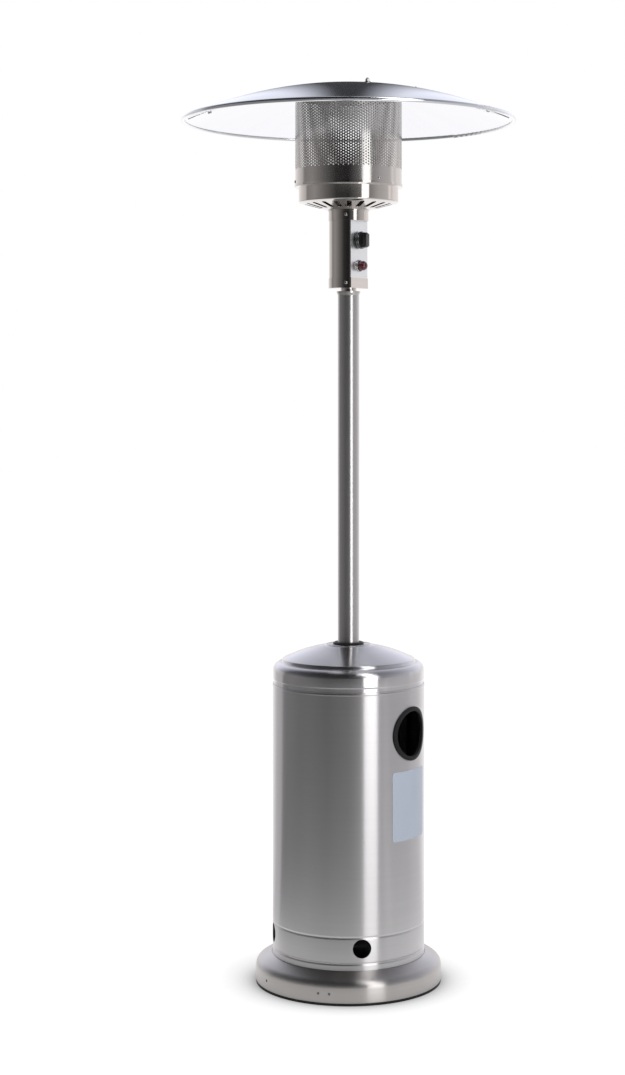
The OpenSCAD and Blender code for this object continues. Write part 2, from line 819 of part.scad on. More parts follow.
module igniter_body() color("dimgray") translate([0, 0, igniter_z]) difference() {
    union() {
        facing_front(-igniter_end_y) cylinder(r = igniter_neck_r, h = igniter_end_y + panel_y + bezel_h);
        facing_front(panel_back - igniter_flange)
            cylinder(r = igniter_neck_r + bezel_wall, h = igniter_flange);
    }
    facing_front(igniter_floor_y) cylinder(r = igniter_bore_r, h = panel_y + bezel_h);
}

module igniter_bezel() color("silver") translate([0, 0, igniter_z]) facing_front(panel_y) difference() {
    lathe([
        [0, 0],
        [igniter_neck_r + bezel_wall, 0],
        [igniter_neck_r + bezel_wall, bezel_h - bezel_edge],
        [igniter_neck_r + bezel_wall - bezel_chamfer, bezel_h],
        [0, bezel_h]
    ]);
    translate([0, 0, -cut]) cylinder(r = igniter_neck_r + close_fit, h = bezel_h + 2 * cut);
}

module tilt_switch() color("white") intersection() {
    translate([-tilt_size.x / 2, control_in - tilt_size.y, igniter_z - tilt_size.z / 2])
        cube(tilt_size);
    translate([0, 0, control_z]) cylinder(r = control_in - close_fit, h = control_h);
}

// Burner
module burner_supply_pipe() color("goldenrod") translate([0, 0, valve_top])
    ring(supply_r, supply_r - pipe_wall, venturi_z - jet_hex_h / 2 - valve_top);

module burner_jet() color("goldenrod") translate([0, 0, venturi_z]) difference() {
    union() {
        translate([0, 0, -jet_hex_h]) hexagon(jet_hex, jet_hex_h);
        cylinder(r = jet_r, h = jet_tip);
    }
    translate([0, 0, -jet_hex_h - cut]) cylinder(r = supply_r + close_fit, h = jet_hex_h / 2 + cut);
    translate([0, 0, -jet_hex_h]) cylinder(r = jet_bore_r, h = jet_hex_h + jet_tip + cut);
}

module burner_venturi() color("gray") difference() {
    translate([0, 0, venturi_z]) cylinder(r = venturi_r, h = flange_top - venturi_z);
    translate([0, 0, venturi_z + venturi_floor]) cylinder(r = venturi_in, h = flange_top - venturi_z);
    translate([0, 0, venturi_z - cut]) cylinder(r = jet_r + close_fit, h = venturi_floor + 2 * cut);
    for (a = [0, 180]) radial_hole(air_port_r, air_port_z, a, venturi_r);
}

module burner_bowl() color("silver") difference() {
    lathe(sheet(bowl_path, bowl_t));
    for (i = [0:slot_count - 1]) at_angle(i * 360 / slot_count) translate([0, -slot_circle, bowl_z - cut])
        linear_extrude(bowl_rise + 2 * bowl_t + 2 * cut) {
            square([slot_w, slot_len - slot_w], center = true);
            for (end = [-1, 1]) translate([0, end * (slot_len - slot_w) / 2]) circle(d = slot_w);
        }
    for (a = bowl_screw_angles) at_angle(a) translate([0, -bowl_screw_circle, bowl_z - cut])
        cylinder(r = small_screw_r + bolt_play, h = bowl_t + 2 * cut);
}

module bowl_screws() color("gray") for (a = bowl_screw_angles) at_angle(a)
    translate([0, -bowl_screw_circle, bowl_z + bowl_t]) pan_screw(small_screw_r, bowl_t);

module burner_plate() color("gray") difference() {
    lathe(sheet([
        [venturi_in, flange_top, 0],
        [pan_r, flange_top, bend(pan_t)],
        [pan_r, flange_top + pan_rim, 0]
    ], pan_t));
    for (side = [-1, 0, 1]) translate([side * pilot_gap, -pilot_y, flange_top - cut])
        cylinder(r = pilot_stem_r + close_fit, h = pan_t + 2 * cut);
    for (a = screen_screw_angles) radial_hole(collar_screw_r + bolt_play, screen_screw_z, a, screen_r);
}

module burner_head() color("gray") translate([0, 0, pan_top]) difference() {
    lathe([
        [venturi_in, 0],
        [burner_r, 0],
        [burner_r, burner_shoulder_z],
        [burner_crown_r, burner_h],
        [0, burner_h],
        [0, burner_h - burner_wall],
        [burner_crown_r - burner_wall / 2, burner_h - burner_wall],
        [burner_r - burner_wall, burner_shoulder_z - burner_wall / 2],
        [burner_r - burner_wall, burner_wall],
        [venturi_in, burner_wall]
    ]);
    for (i = [0:burner_ports - 1]) radial_hole(port_r, port_z, i * 360 / burner_ports, burner_r);
}

module pilot_burner() color("goldenrod") translate([0, -pilot_y, flange_top]) difference() {
    union() {
        cylinder(r = pilot_stem_r, h = pilot_h);
        translate([0, 0, pilot_h - pilot_cap_h]) cylinder(r = pilot_stem_r + pilot_wall, h = pilot_cap_h);
    }
    translate([0, 0, pilot_h - pilot_cup_h]) cylinder(r = pilot_cup_r, h = pilot_cup_h + cut);
}

module pilot_bracket() color("silver") difference() {
    translate([-1.5 * pilot_gap, -pilot_y - bracket_half, pan_top]) union() {
        cube([3 * pilot_gap, 2 * bracket_half, bracket_t]);
        cube([3 * pilot_gap, bracket_t, bracket_h]);
    }
    for (side = [-1, 0, 1]) translate([side * pilot_gap, -pilot_y, pan_top - cut])
        cylinder(r = pilot_stem_r + close_fit, h = bracket_t + 2 * cut);
}

module pilot_tube() color("goldenrod") tube_run([
    [pilot_start.x, pilot_start.y, valve_top],
    [pilot_start.x, pilot_start.y, lead_entry_z],
    [0, -pilot_y, lead_bend_z],
    [0, -pilot_y, flange_top]
], pilot_tube_r);

module thermocouple() color("silver") translate([pilot_gap, -pilot_y, flange_top]) {
    cylinder(r = pilot_stem_r, h = probe_h);
    translate([0, 0, probe_h - cut]) cylinder(r = pilot_tube_r, h = probe_tip + cut);
}

module thermocouple_lead() color("goldenrod") tube_run([
    [probe_start.x, probe_start.y, valve_top],
    [probe_start.x, probe_start.y, lead_entry_z],
    [pilot_gap, -pilot_y, lead_bend_z],
    [pilot_gap, -pilot_y, flange_top]
], lead_r);

module ignition_electrode() color("white") translate([-pilot_gap, -pilot_y, flange_top]) {
    cylinder(r = pilot_stem_r, h = ceramic_h);
    translate([0, 0, ceramic_h - cut]) cylinder(r = electrode_r, h = electrode_tip + cut);
}

module ignition_lead() color("black") tube_run([
    [-igniter_neck_r, spark_y, igniter_z],
    [spark_x, spark_y, igniter_z],
    [spark_x, spark_y, lead_entry_z],
    [-pilot_gap, -pilot_y, lead_bend_z],
    [-pilot_gap, -pilot_y, flange_top]
], lead_r);

module emitter_screen() color("gainsboro") difference() {
    translate([0, 0, flange_top]) ring(screen_r, screen_in, screen_h);
    for (row = [0:mesh_rows - 1], column = [0:mesh_columns - 1])
        radial_hole(
            mesh_hole_d / 2,
            flange_top + screen_band + mesh_hole_d / 2 + row * mesh_pitch,
            (column + (row % 2) / 2) * 360 / mesh_columns,
            screen_r
        );
    for (a = screen_screw_angles) radial_hole(collar_screw_r + bolt_play, screen_screw_z, a, screen_r);
}

module screen_screws() color("silver") for (a = screen_screw_angles) at_angle(a)
    translate([0, -screen_r, screen_screw_z]) rotate([90, 0, 0]) pan_screw(collar_screw_r, collar_screw_grip);

module emitter_top() color("silver") translate([0, 0, screen_top]) difference() {
    lathe([
        [pan_r - top_t, -top_rim],
        [pan_r, -top_rim],
        [pan_r, 0],
        [screen_r, 0],
        [screen_r, top_t],
        [0, top_t],
        [0, 0],
        [pan_r - top_t, 0]
    ]);
    for (a = stud_angles) at_angle(a) translate([0, -stud_circle, -cut])
        cylinder(r = stud_r + bolt_play, h = top_t + 2 * cut);
}

// Reflector
// Places something on the reflector's skin, square to it
module on_dish(rho, angle) translate([0, 0, dish_centre]) at_angle(angle) rotate([asin(rho / dish_r), 0, 0])
    translate([0, 0, dish_r]) children();

// Points along the reflector's skin lowered by a drop, from its edge inwards
function dish_arc(drop, edge, inner = 0) = [
    for (i = [dish_steps:-1:0])
        let (from = asin(inner / dish_r), a = from + (asin(edge / dish_r) - from) * i / dish_steps)
            [(dish_r - drop) * sin(a), dish_centre + (dish_r - drop) * cos(a)]
];

// All the space under the reflector's skin, lowered by a drop
module under_dish(drop) lathe(concat(dish_arc(drop, dish_edge), [[0, 0], [dish_edge, 0]]));

module stud_holes() for (a = stud_angles) at_angle(a) translate([0, -stud_circle, screen_top])
    cylinder(r = stud_r + bolt_play, h = 2 * reflector_rise);

module seam_fixings() for (side = [0, 180], rho = [seam_bolt_in, seam_bolt_out])
    on_dish(rho, seam_angle + side - lap_sweep / 2) children();

// Half of the reflector: its own sheet and rolled rim, and the lap that goes under the other half
module reflector_half(turn) color("gainsboro") difference() {
    rotate([0, 0, seam_angle - 90 + turn]) union() {
        rotate_extrude(angle = 180) polygon(ribbon(dish_arc(0, dish_edge), reflector_t));
        rotate_extrude(angle = 180) translate([dish_edge, apex_z - reflector_depth]) circle(r = bead_r);
        rotate_extrude(angle = joggle_sweep)
            polygon(ribbon(dish_arc(0, lap_end, lap_start), lap_drop + reflector_t));
        rotate([0, 0, -lap_sweep]) rotate_extrude(angle = lap_sweep + joggle_sweep / 2)
            polygon(ribbon(dish_arc(lap_drop, lap_end, lap_start), reflector_t));
    }
    stud_holes();
    seam_fixings() translate([0, 0, -seam_hole_reach])
        cylinder(r = seam_bolt_r + bolt_play, h = 2 * seam_hole_reach);
}

module reflector_studs() color("silver") for (a = stud_angles) at_angle(a)
    translate([0, -stud_circle, screen_top]) rotate([180, 0, 0]) hex_bolt(stud_d, reflector_rise);

module reflector_spacers() color("silver") intersection() {
    for (a = stud_angles) at_angle(a) translate([0, -stud_circle, top_z])
        ring(spacer_r, stud_r + bolt_play, reflector_rise);
    under_dish(reflector_t + dish_slack);
}

module reflector_nuts() color("silver") difference() {
    for (a = stud_angles) at_angle(a) translate([0, -stud_circle, screen_top]) difference() {
        union() {
            cylinder(r = spacer_r, h = reflector_rise - nut_washer_drop);
            hexagon(stud_d * hex_ratio, reflector_rise);
            translate([0, 0, reflector_rise]) sphere(r = nut_dome_r);
        }
        translate([0, 0, -cut]) cylinder(r = stud_r + close_fit, h = reflector_rise + 2 * cut);
    }
    under_dish(-dish_slack / 2);
}

module seam_bolts() color("silver") seam_fixings() {
    translate([0, 0, -lap_drop - reflector_t - dish_slack]) rotate([180, 0, 0]) pan_screw(seam_bolt_r, 0);
    translate([0, 0, -lap_drop - reflector_t - dish_slack - cut / 2])
        cylinder(r = seam_bolt_r, h = lap_drop + reflector_t + seam_bolt_stand);
}

module seam_nuts() color("silver") seam_fixings() translate([0, 0, dish_slack / 2]) hex_nut(seam_bolt_d);

// Moving controls
module control_knob() color("black") translate([0, 0, knob_z]) facing_front(knob_back_y) difference() {
    union() {
        lathe([
            [0, 0],
            [knob_r, 0],
            [knob_r, knob_skirt - knob_chamfer],
            [knob_r - knob_chamfer, knob_skirt],
            [0, knob_skirt]
        ]);
        intersection() {
            translate([-grip_w / 2, -knob_r, knob_skirt - cut])
                cube([grip_w, knob_d, knob_depth - knob_skirt + cut]);
            lathe([
                [0, 0],
                [knob_r - grip_inset, 0],
                [knob_r - grip_edge, knob_depth - grip_edge],
                [knob_r - 2 * grip_edge, knob_depth],
                [0, knob_depth]
            ]);
        }
    }
    translate([0, 0, -cut]) cylinder(r = spindle_r + close_fit, h = knob_bore + cut);
}

module valve_spindle() color("silver") translate([0, 0, knob_z]) facing_front(panel_y - spindle_in)
    cylinder(r = spindle_r, h = knob_back_y + knob_bore - panel_y + spindle_in);

module spindle_spring_cap() color("silver") translate([0, 0, knob_z]) facing_front(spring_cap_y)
    ring(spring_cap_r, spindle_r + close_fit, spring_cap_t);

module igniter_button() color("darkred") translate([0, 0, igniter_z]) facing_front(button_back_y) lathe([
    [0, 0],
    [button_r, 0],
    for (i = [0:button_steps])
        let (a = 90 * i / button_steps)
            [button_r * cos(a), panel_y + button_proud - button_back_y - button_dome + button_dome * sin(a)]
]);

base_dish();
base_edge_trim();
leg(leg_angles[0]);  // left_leg
leg(leg_angles[1]);  // right_leg
leg(leg_angles[2]);  // rear_leg
leg_foot_bolts();
leg_foot_nuts();
leg_top_bolts();
leg_top_nuts();
pole_plate();
pole();
pole_collar();
neck_nut();
gas_inlet_fitting();
gas_pipe();
housing_shell();
housing_cap();
pole_bushing();
handhold_ring();
control_shell();
control_panel();
control_bottom_collar();
control_top_collar();
collar_screws();
gas_valve();
igniter_body();
igniter_bezel();
tilt_switch();
burner_supply_pipe();
burner_jet();
burner_venturi();
burner_bowl();
bowl_screws();
burner_plate();
burner_head();
pilot_burner();
pilot_bracket();
pilot_tube();
thermocouple();
thermocouple_lead();
ignition_electrode();
ignition_lead();
emitter_screen();
screen_screws();
emitter_top();
reflector_studs();
reflector_spacers();
reflector_nuts();
reflector_half(180);  // reflector_half_left
reflector_half(0);  // reflector_half_right
seam_bolts();
seam_nuts();
control_knob();
valve_spindle();
spindle_spring_cap();
igniter_button();
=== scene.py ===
"""Looks of a mushroom gas patio heater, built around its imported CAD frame.

Each sub-assembly dresses its CAD nodes with finishes and makes the pieces that need a finer form than the solids have:
the perforated emitter screen, the screws with their cross recesses and the blank rating plate.
"""

from __future__ import annotations

import json
import logging
import math
from dataclasses import dataclass, field
from enum import Enum

import bmesh
import bpy
from bpy.types import Material, Mesh, Node, Object
from mathutils import Matrix, Vector

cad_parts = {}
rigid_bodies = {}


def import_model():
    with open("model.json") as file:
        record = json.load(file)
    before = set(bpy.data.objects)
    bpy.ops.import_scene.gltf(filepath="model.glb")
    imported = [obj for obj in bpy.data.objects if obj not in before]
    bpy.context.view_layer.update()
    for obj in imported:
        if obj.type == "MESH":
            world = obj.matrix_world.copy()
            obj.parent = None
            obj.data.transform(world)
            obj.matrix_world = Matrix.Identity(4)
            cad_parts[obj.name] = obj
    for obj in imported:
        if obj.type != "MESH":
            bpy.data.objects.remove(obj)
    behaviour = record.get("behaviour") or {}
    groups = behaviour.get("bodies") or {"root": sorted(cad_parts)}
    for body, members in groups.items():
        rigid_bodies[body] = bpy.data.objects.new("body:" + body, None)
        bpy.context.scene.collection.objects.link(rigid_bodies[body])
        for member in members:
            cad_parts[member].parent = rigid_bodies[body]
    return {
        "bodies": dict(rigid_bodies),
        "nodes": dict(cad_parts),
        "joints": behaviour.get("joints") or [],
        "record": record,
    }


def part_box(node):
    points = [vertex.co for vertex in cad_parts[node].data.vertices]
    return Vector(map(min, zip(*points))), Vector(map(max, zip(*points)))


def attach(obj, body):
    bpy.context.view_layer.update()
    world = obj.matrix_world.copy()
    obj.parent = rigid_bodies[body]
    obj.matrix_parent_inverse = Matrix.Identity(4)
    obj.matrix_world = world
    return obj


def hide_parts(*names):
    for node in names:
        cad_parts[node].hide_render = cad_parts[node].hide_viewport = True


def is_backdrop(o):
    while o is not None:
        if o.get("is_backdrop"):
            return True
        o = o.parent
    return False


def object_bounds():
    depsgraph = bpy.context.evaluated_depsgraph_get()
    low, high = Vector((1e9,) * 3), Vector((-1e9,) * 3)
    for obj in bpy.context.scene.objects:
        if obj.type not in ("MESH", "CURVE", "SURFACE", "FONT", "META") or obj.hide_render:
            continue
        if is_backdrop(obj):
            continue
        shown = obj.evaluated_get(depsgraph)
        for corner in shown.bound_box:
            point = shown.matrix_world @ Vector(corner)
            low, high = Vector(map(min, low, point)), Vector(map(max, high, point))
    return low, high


LOG = logging.getLogger("patio_heater")
PHOTO_WIDTH = 625
PHOTO_HEIGHT = 1075
SENSOR_MM = 36.0
WHITE = (1.0, 1.0, 1.0, 1.0)

# Finishes: the turn of stretched reflections, and the share of each mask in the tone and in the gloss.
ACROSS_BRUSHING = 0.25
STROKES_IN_TONE = 0.55
SMUDGES_IN_TONE = 0.45
SMUDGES_IN_GLOSS = 0.6
SPECKS_IN_GLOSS = 0.4

# Least angles of a sharp edge, in degrees, and the largest angle between facets that count as flat.
CREASE = 32.0
SHEET_CREASE = 40.0
SCREW_CREASE = 30.0
BUTTON_CREASE = 50.0
FLAT = 0.5

# Widths of rounded edges, distances for welding, and the least length of a direction, in metres.
LEG_EDGE = 0.0006
RING_EDGE = 0.0008
BEZEL_EDGE = 0.0004
KNOB_EDGE = 0.0014
NODE_WELD = 0.00002
SHEET_WELD = 0.00005
TINY = 0.000001

# The facets of a rounded edge, and the largest lean round the axis of a turned face's normal.
EDGE_SEGMENTS = 2
END_LEAN = 0.12

Colour = tuple[float, float, float]
Ring = tuple[tuple[float, float], ...]
Profile = list[tuple[float, float]]
Socket = bpy.types.NodeSocket


class Grain(Enum):
    """How the brushing of a round upright piece runs: its noise scales around and along the axis."""

    AROUND = (3.0, 900.0)
    ALONG = (420.0, 3.0)
    NONE = (60.0, 60.0)


class Shading(Enum):
    """How a copied CAD node takes its normals."""

    CREASED = "creased"
    TURNED = "turned"


class NodeTree:
    """Short-hand for adding nodes to one node tree and linking them."""

    def __init__(self, tree: bpy.types.NodeTree) -> None:
        """Wraps a node tree.

        Args:
            tree: The tree that the nodes go into.
        """
        self.tree = tree

    def add(self, kind: str, **values: object) -> Node:
        """Adds a node.

        Args:
            kind: The node's type name in Blender.
            **values: First its settings, in lower case, then its inputs by socket name with underscores for spaces.
                An input takes a value, an output or a node, which stands for its first enabled output.

        Returns:
            The new node.
        """
        node = self.tree.nodes.new(kind)
        for name, value in values.items():
            if name.islower():
                setattr(node, name, value)
            else:
                self.feed(value, node.inputs[name.replace("_", " ")])
        return node

    def feed(self, value: object, socket: Socket) -> None:
        """Links an input to an output, or sets a plain value on it.

        Args:
            value: A node, an output or a plain value.
            socket: The input that takes it.
        """
        if isinstance(value, Node):
            value = next(output for output in value.outputs if output.enabled)
        if isinstance(value, Socket):
            self.tree.links.new(value, socket)
        else:
            socket.default_value = value

    def in_order(self, node: Node, *values: object) -> Socket:
        """Feeds a node's inputs from the first on.

        Args:
            node: The node.
            *values: Nodes, outputs or plain values.

        Returns:
            The node's first output.
        """
        for socket, value in zip(node.inputs, values):
            self.feed(value, socket)
        return node.outputs[0]

    def math(self, operation: str, first: object, second: object = 0.0) -> Socket:
        """Adds a Math node.

        Args:
            operation: The node's operation.
            first: A node, an output or a number.
            second: The same.

        Returns:
            The result.
        """
        return self.in_order(self.add("ShaderNodeMath", operation=operation), first, second)

    def blend(self, factor: Socket, first: object, second: object) -> Socket:
        """Mixes two shaders.

        Args:
            factor: The second shader's share.
            first: A shader.
            second: A shader.

        Returns:
            The mixed shader.
        """
        return self.in_order(self.add("ShaderNodeMixShader"), factor, first, second)

    def join(self, *parts: Node) -> Node:
        """Joins geometry.

        Args:
            *parts: The geometry's parts.

        Returns:
            The joined geometry.
        """
        node = self.add("GeometryNodeJoinGeometry")
        for part in parts:
            self.feed(part, node.inputs["Geometry"])
        return node


def fresh_nodes(owner: Material | bpy.types.World) -> NodeTree:
    """Turns on the nodes of a material or a world and empties them.

    Args:
        owner: The material or the world.

    Returns:
        Its empty tree.
    """
    owner.use_nodes = True
    owner.node_tree.nodes.clear()
    return NodeTree(owner.node_tree)


def new_group(name: str, inputs: dict[str, float], outputs: list[str]) -> tuple[NodeTree, Node, Node]:
    """Starts a shader node group of numbers.

    Args:
        name: The group's name.
        inputs: Its number inputs, with their starting values.
        outputs: Its number outputs.

    Returns:
        The group's tree, its input node and its output node.
    """
    group = bpy.data.node_groups.new(name, "ShaderNodeTree")
    for label, value in inputs.items():
        socket = group.interface.new_socket(label, in_out="INPUT", socket_type="NodeSocketFloat")
        socket.default_value = value
    for label in outputs:
        group.interface.new_socket(label, in_out="OUTPUT", socket_type="NodeSocketFloat")
    tree = NodeTree(group)
    return tree, tree.add("NodeGroupInput"), tree.add("NodeGroupOutput")


def brushed_grain_group() -> bpy.types.NodeTree:
    """Makes the group for brushed lines on pieces round the heater's axis.

    Returns:
        A group with scales around and along the axis, whose outputs are the lines' height and a mask of longer strokes.
    """
    around, along = Grain.AROUND.value
    tree, source, result = new_group(
        "brushed_grain", {"Around Scale": around, "Along Scale": along}, ["Height", "Strokes"])
    split = tree.add("ShaderNodeSeparateXYZ", Vector=tree.add("ShaderNodeTexCoord").outputs["Object"])
    angle = tree.math("ARCTAN2", split.outputs["Y"], split.outputs["X"])
    place = tree.add(
        "ShaderNodeCombineXYZ", X=tree.math("MULTIPLY", angle, source.outputs["Around Scale"]),
        Y=tree.math("MULTIPLY", split.outputs["Z"], source.outputs["Along Scale"]))
    for label, scale, detail, roughness in (("Height", 1.0, 4.0, 0.65), ("Strokes", 0.12, 2.0, 0.5)):
        noise = tree.add("ShaderNodeTexNoise", Vector=place, Scale=scale, Detail=detail, Roughness=roughness)
        tree.feed(noise.outputs["Fac"], result.inputs[label])
    return tree.tree


def handling_marks_group() -> bpy.types.NodeTree:
    """Makes the group for smudges and fine mottling.

    Returns:
        A group whose outputs are a mask of broad smudges and a mask of small specks.
    """
    tree, source, result = new_group(
        "handling_marks", {"Smudge Scale": 6.0, "Speck Scale": 140.0}, ["Smudge", "Specks"])
    place = tree.add("ShaderNodeTexCoord").outputs["Object"]
    smudge = tree.add(
        "ShaderNodeTexNoise", Vector=place, Scale=source.outputs["Smudge Scale"], Detail=5.0, Roughness=0.6,
        Distortion=0.4)
    specks = tree.add(
        "ShaderNodeTexNoise", Vector=place, Scale=source.outputs["Speck Scale"], Detail=3.0, Roughness=0.7)
    tree.feed(smudge.outputs["Fac"], result.inputs["Smudge"])
    tree.feed(specks.outputs["Fac"], result.inputs["Specks"])
    return tree.tree


@dataclass(frozen=True)
class Effects:
    """The shader groups that the finishes share, built once.

    Attributes:
        grain: Brushed lines.
        marks: Smudges and specks.
    """

    grain: bpy.types.NodeTree = field(default_factory=brushed_grain_group)
    marks: bpy.types.NodeTree = field(default_factory=handling_marks_group)


@dataclass(frozen=True)
class Finish:
    """A surface finish: its tones, gloss, grain and marks.

    Attributes:
        name: Material name.
        slot: The record's material slot.
        light: Colour where the surface is clean.
        dark: Colour in smudges and grain.
        metallic: 1 for bare metal.
        roughness: Lowest and highest roughness.
        grain: Direction of brushing.
        grain_depth: Depth of the grain's bump, in metres.
        smudge_scale: Scale of the broad marks.
        anisotropic: Stretch of reflections across the brushing.
        coat: Weight of a clear coat.
        specular: Specular level of the shader.
    """

    name: str
    slot: str
    light: Colour
    dark: Colour
    metallic: float
    roughness: tuple[float, float]
    grain: Grain = Grain.NONE
    grain_depth: float = 0.00001
    smudge_scale: float = 6.0
    anisotropic: float = 0.0
    coat: float = 0.0
    specular: float = 0.5

    def material(self, effects: Effects) -> Material:
        """Builds the finish as a node material.

        Args:
            effects: The shared shader groups.

        Returns:
            The material.
        """
        made = bpy.data.materials.new(self.name)
        tree = fresh_nodes(made)
        around, along = self.grain.value
        grain = tree.add("ShaderNodeGroup", node_tree=effects.grain, Around_Scale=around, Along_Scale=along).outputs
        marks = tree.add("ShaderNodeGroup", node_tree=effects.marks, Smudge_Scale=self.smudge_scale).outputs
        shade = tree.math(
            "ADD", tree.math("MULTIPLY", grain["Strokes"], STROKES_IN_TONE),
            tree.math("MULTIPLY", marks["Smudge"], SMUDGES_IN_TONE))
        wear = tree.math(
            "ADD", tree.math("MULTIPLY", marks["Smudge"], SMUDGES_IN_GLOSS),
            tree.math("MULTIPLY", marks["Specks"], SPECKS_IN_GLOSS))
        tone = tree.add("ShaderNodeMix", data_type="RGBA", Factor=shade, A=(*self.light, 1.0), B=(*self.dark, 1.0))
        low, high = self.roughness
        gloss = tree.add("ShaderNodeMapRange", Value=wear, To_Min=low, To_Max=high)
        bump = tree.add("ShaderNodeBump", Strength=1.0, Distance=self.grain_depth, Height=grain["Height"])
        shader = tree.add(
            "ShaderNodeBsdfPrincipled", Metallic=self.metallic, Anisotropic=self.anisotropic,
            Anisotropic_Rotation=ACROSS_BRUSHING, Coat_Weight=self.coat, Specular_IOR_Level=self.specular,
            Base_Color=tone, Roughness=gloss, Normal=bump)
        tree.add("ShaderNodeOutputMaterial", Surface=shader)
        return made


HOUSING_STEEL = Finish(
    "housing_brushed_steel", "brushed_stainless", (0.62, 0.61, 0.615), (0.55, 0.54, 0.545), 1.0, (0.28, 0.32),
    Grain.AROUND, 0.000001, 4.0, 0.98)
CAP_STEEL = Finish(
    "cap_bright_steel", "brushed_stainless", (0.66, 0.65, 0.66), (0.59, 0.58, 0.59), 1.0, (0.20, 0.25), Grain.AROUND,
    0.000001, 5.0, 0.97)
BASE_STEEL = Finish(
    "base_bright_steel", "bright_stainless", (0.54, 0.52, 0.505), (0.44, 0.42, 0.405), 1.0, (0.28, 0.32), Grain.AROUND,
    0.000001, 5.0, 0.97)
POLISHED_STEEL = Finish(
    "polished_steel", "bright_stainless", (0.68, 0.655, 0.635), (0.61, 0.585, 0.565), 1.0, (0.05, 0.12), Grain.AROUND,
    0.000001, 9.0)
POLE_STEEL = Finish(
    "pole_steel", "bright_stainless", (0.64, 0.625, 0.625), (0.56, 0.545, 0.545), 1.0, (0.315, 0.325), Grain.AROUND,
    0.0000003, 9.0, 0.88)
PANEL_STEEL = Finish(
    "panel_satin_steel", "front_panel", (0.92, 0.95, 0.97), (0.88, 0.91, 0.93), 1.0, (0.28, 0.38), Grain.ALONG,
    0.000002, 12.0)
SCREEN_STEEL = Finish(
    "screen_steel", "screen_steel", (0.68, 0.665, 0.65), (0.58, 0.565, 0.55), 1.0, (0.10, 0.20), Grain.NONE, 0.000002,
    8.0)
BURNT_STEEL = Finish(
    "burner_steel", "screen_steel", (0.42, 0.40, 0.38), (0.26, 0.235, 0.21), 1.0, (0.30, 0.48), Grain.NONE, 0.00002,
    14.0)
REFLECTOR_SHEET = Finish(
    "reflector_sheet", "reflector_sheet", (0.87, 0.88, 0.90), (0.80, 0.81, 0.84), 1.0, (0.08, 0.16), Grain.NONE,
    0.000002, 3.0)
BLACK_PLASTIC = Finish(
    "black_moulding", "black_plastic", (0.010, 0.010, 0.011), (0.020, 0.020, 0.021), 0.0, (0.28, 0.46), Grain.NONE,
    0.00003, 20.0, 0.0, 0.0, 0.12)
KNOB_PLASTIC = Finish(
    "knob_moulding", "black_plastic", (0.008, 0.008, 0.009), (0.016, 0.016, 0.017), 0.0, (0.12, 0.22), Grain.NONE,
    0.00001, 40.0, 0.0, 0.5, 0.7)
BUTTON_RED = Finish(
    "button_red", "button_red", (0.085, 0.006, 0.016), (0.055, 0.004, 0.010), 0.0, (0.06, 0.14), Grain.NONE, 0.000004,
    60.0, 0.0, 0.8)
FIXING_STEEL = Finish(
    "fixing_steel", "bright_fixings", (0.62, 0.62, 0.62), (0.50, 0.50, 0.50), 1.0, (0.14, 0.26), Grain.NONE, 0.000004,
    50.0)
LEG_PAINT = Finish(
    "leg_paint", "painted_steel", (0.075, 0.076, 0.08), (0.115, 0.115, 0.12), 0.0, (0.36, 0.54), Grain.NONE, 0.00005,
    12.0)
GAS_BRASS = Finish(
    "gas_brass", "gas_brass", (0.74, 0.55, 0.26), (0.58, 0.40, 0.17), 1.0, (0.28, 0.42), Grain.NONE, 0.00001, 30.0)
CERAMIC = Finish(
    "electrode_ceramic", "white_ceramic", (0.86, 0.85, 0.82), (0.78, 0.76, 0.72), 0.0, (0.28, 0.42), Grain.NONE,
    0.00001, 60.0)
WHITE_PLASTIC = Finish(
    "switch_plastic", "white_plastic", (0.82, 0.82, 0.81), (0.76, 0.76, 0.74), 0.0, (0.34, 0.48), Grain.NONE, 0.00002,
    40.0)
LEAD_RUBBER = Finish(
    "lead_rubber", "lead_rubber", (0.022, 0.022, 0.022), (0.034, 0.034, 0.034), 0.0, (0.55, 0.72), Grain.NONE, 0.00003,
    60.0)
PLATE_FILM = Finish(
    "rating_plate_film", "white_plastic", (0.42, 0.465, 0.55), (0.38, 0.42, 0.50), 0.0, (0.30, 0.36), Grain.NONE,
    0.0000005, 18.0)


def new_object(name: str, mesh: Mesh) -> Object:
    """Links a mesh into the scene as an object at the origin.

    Args:
        name: The object's name.
        mesh: Its mesh.

    Returns:
        The object.
    """
    made = bpy.data.objects.new(name, mesh)
    bpy.context.scene.collection.objects.link(made)
    return made


def new_mesh(name: str, made: bmesh.types.BMesh) -> Mesh:
    """Writes a bmesh to a new mesh and frees it.

    Args:
        name: The mesh's name.
        made: The bmesh.

    Returns:
        The mesh.
    """
    mesh = bpy.data.meshes.new(name)
    made.to_mesh(mesh)
    made.free()
    return mesh


def apply_modifiers(piece: Object) -> None:
    """Puts a piece's evaluated shape in place of its mesh and modifiers.

    Args:
        piece: An object with live modifiers.
    """
    depsgraph = bpy.context.evaluated_depsgraph_get()
    depsgraph.update()
    piece.data = bpy.data.meshes.new_from_object(piece.evaluated_get(depsgraph), depsgraph=depsgraph)
    piece.modifiers.clear()


def crease(mesh: Mesh, degrees: float) -> None:
    """Shades a mesh smooth, apart from edges sharper than an angle.

    Args:
        mesh: The mesh.
        degrees: The least angle of a sharp edge.
    """
    mesh.polygons.foreach_set("use_smooth", [True] * len(mesh.polygons))
    mesh.set_sharp_from_angle(angle=math.radians(degrees))
    mesh.update()


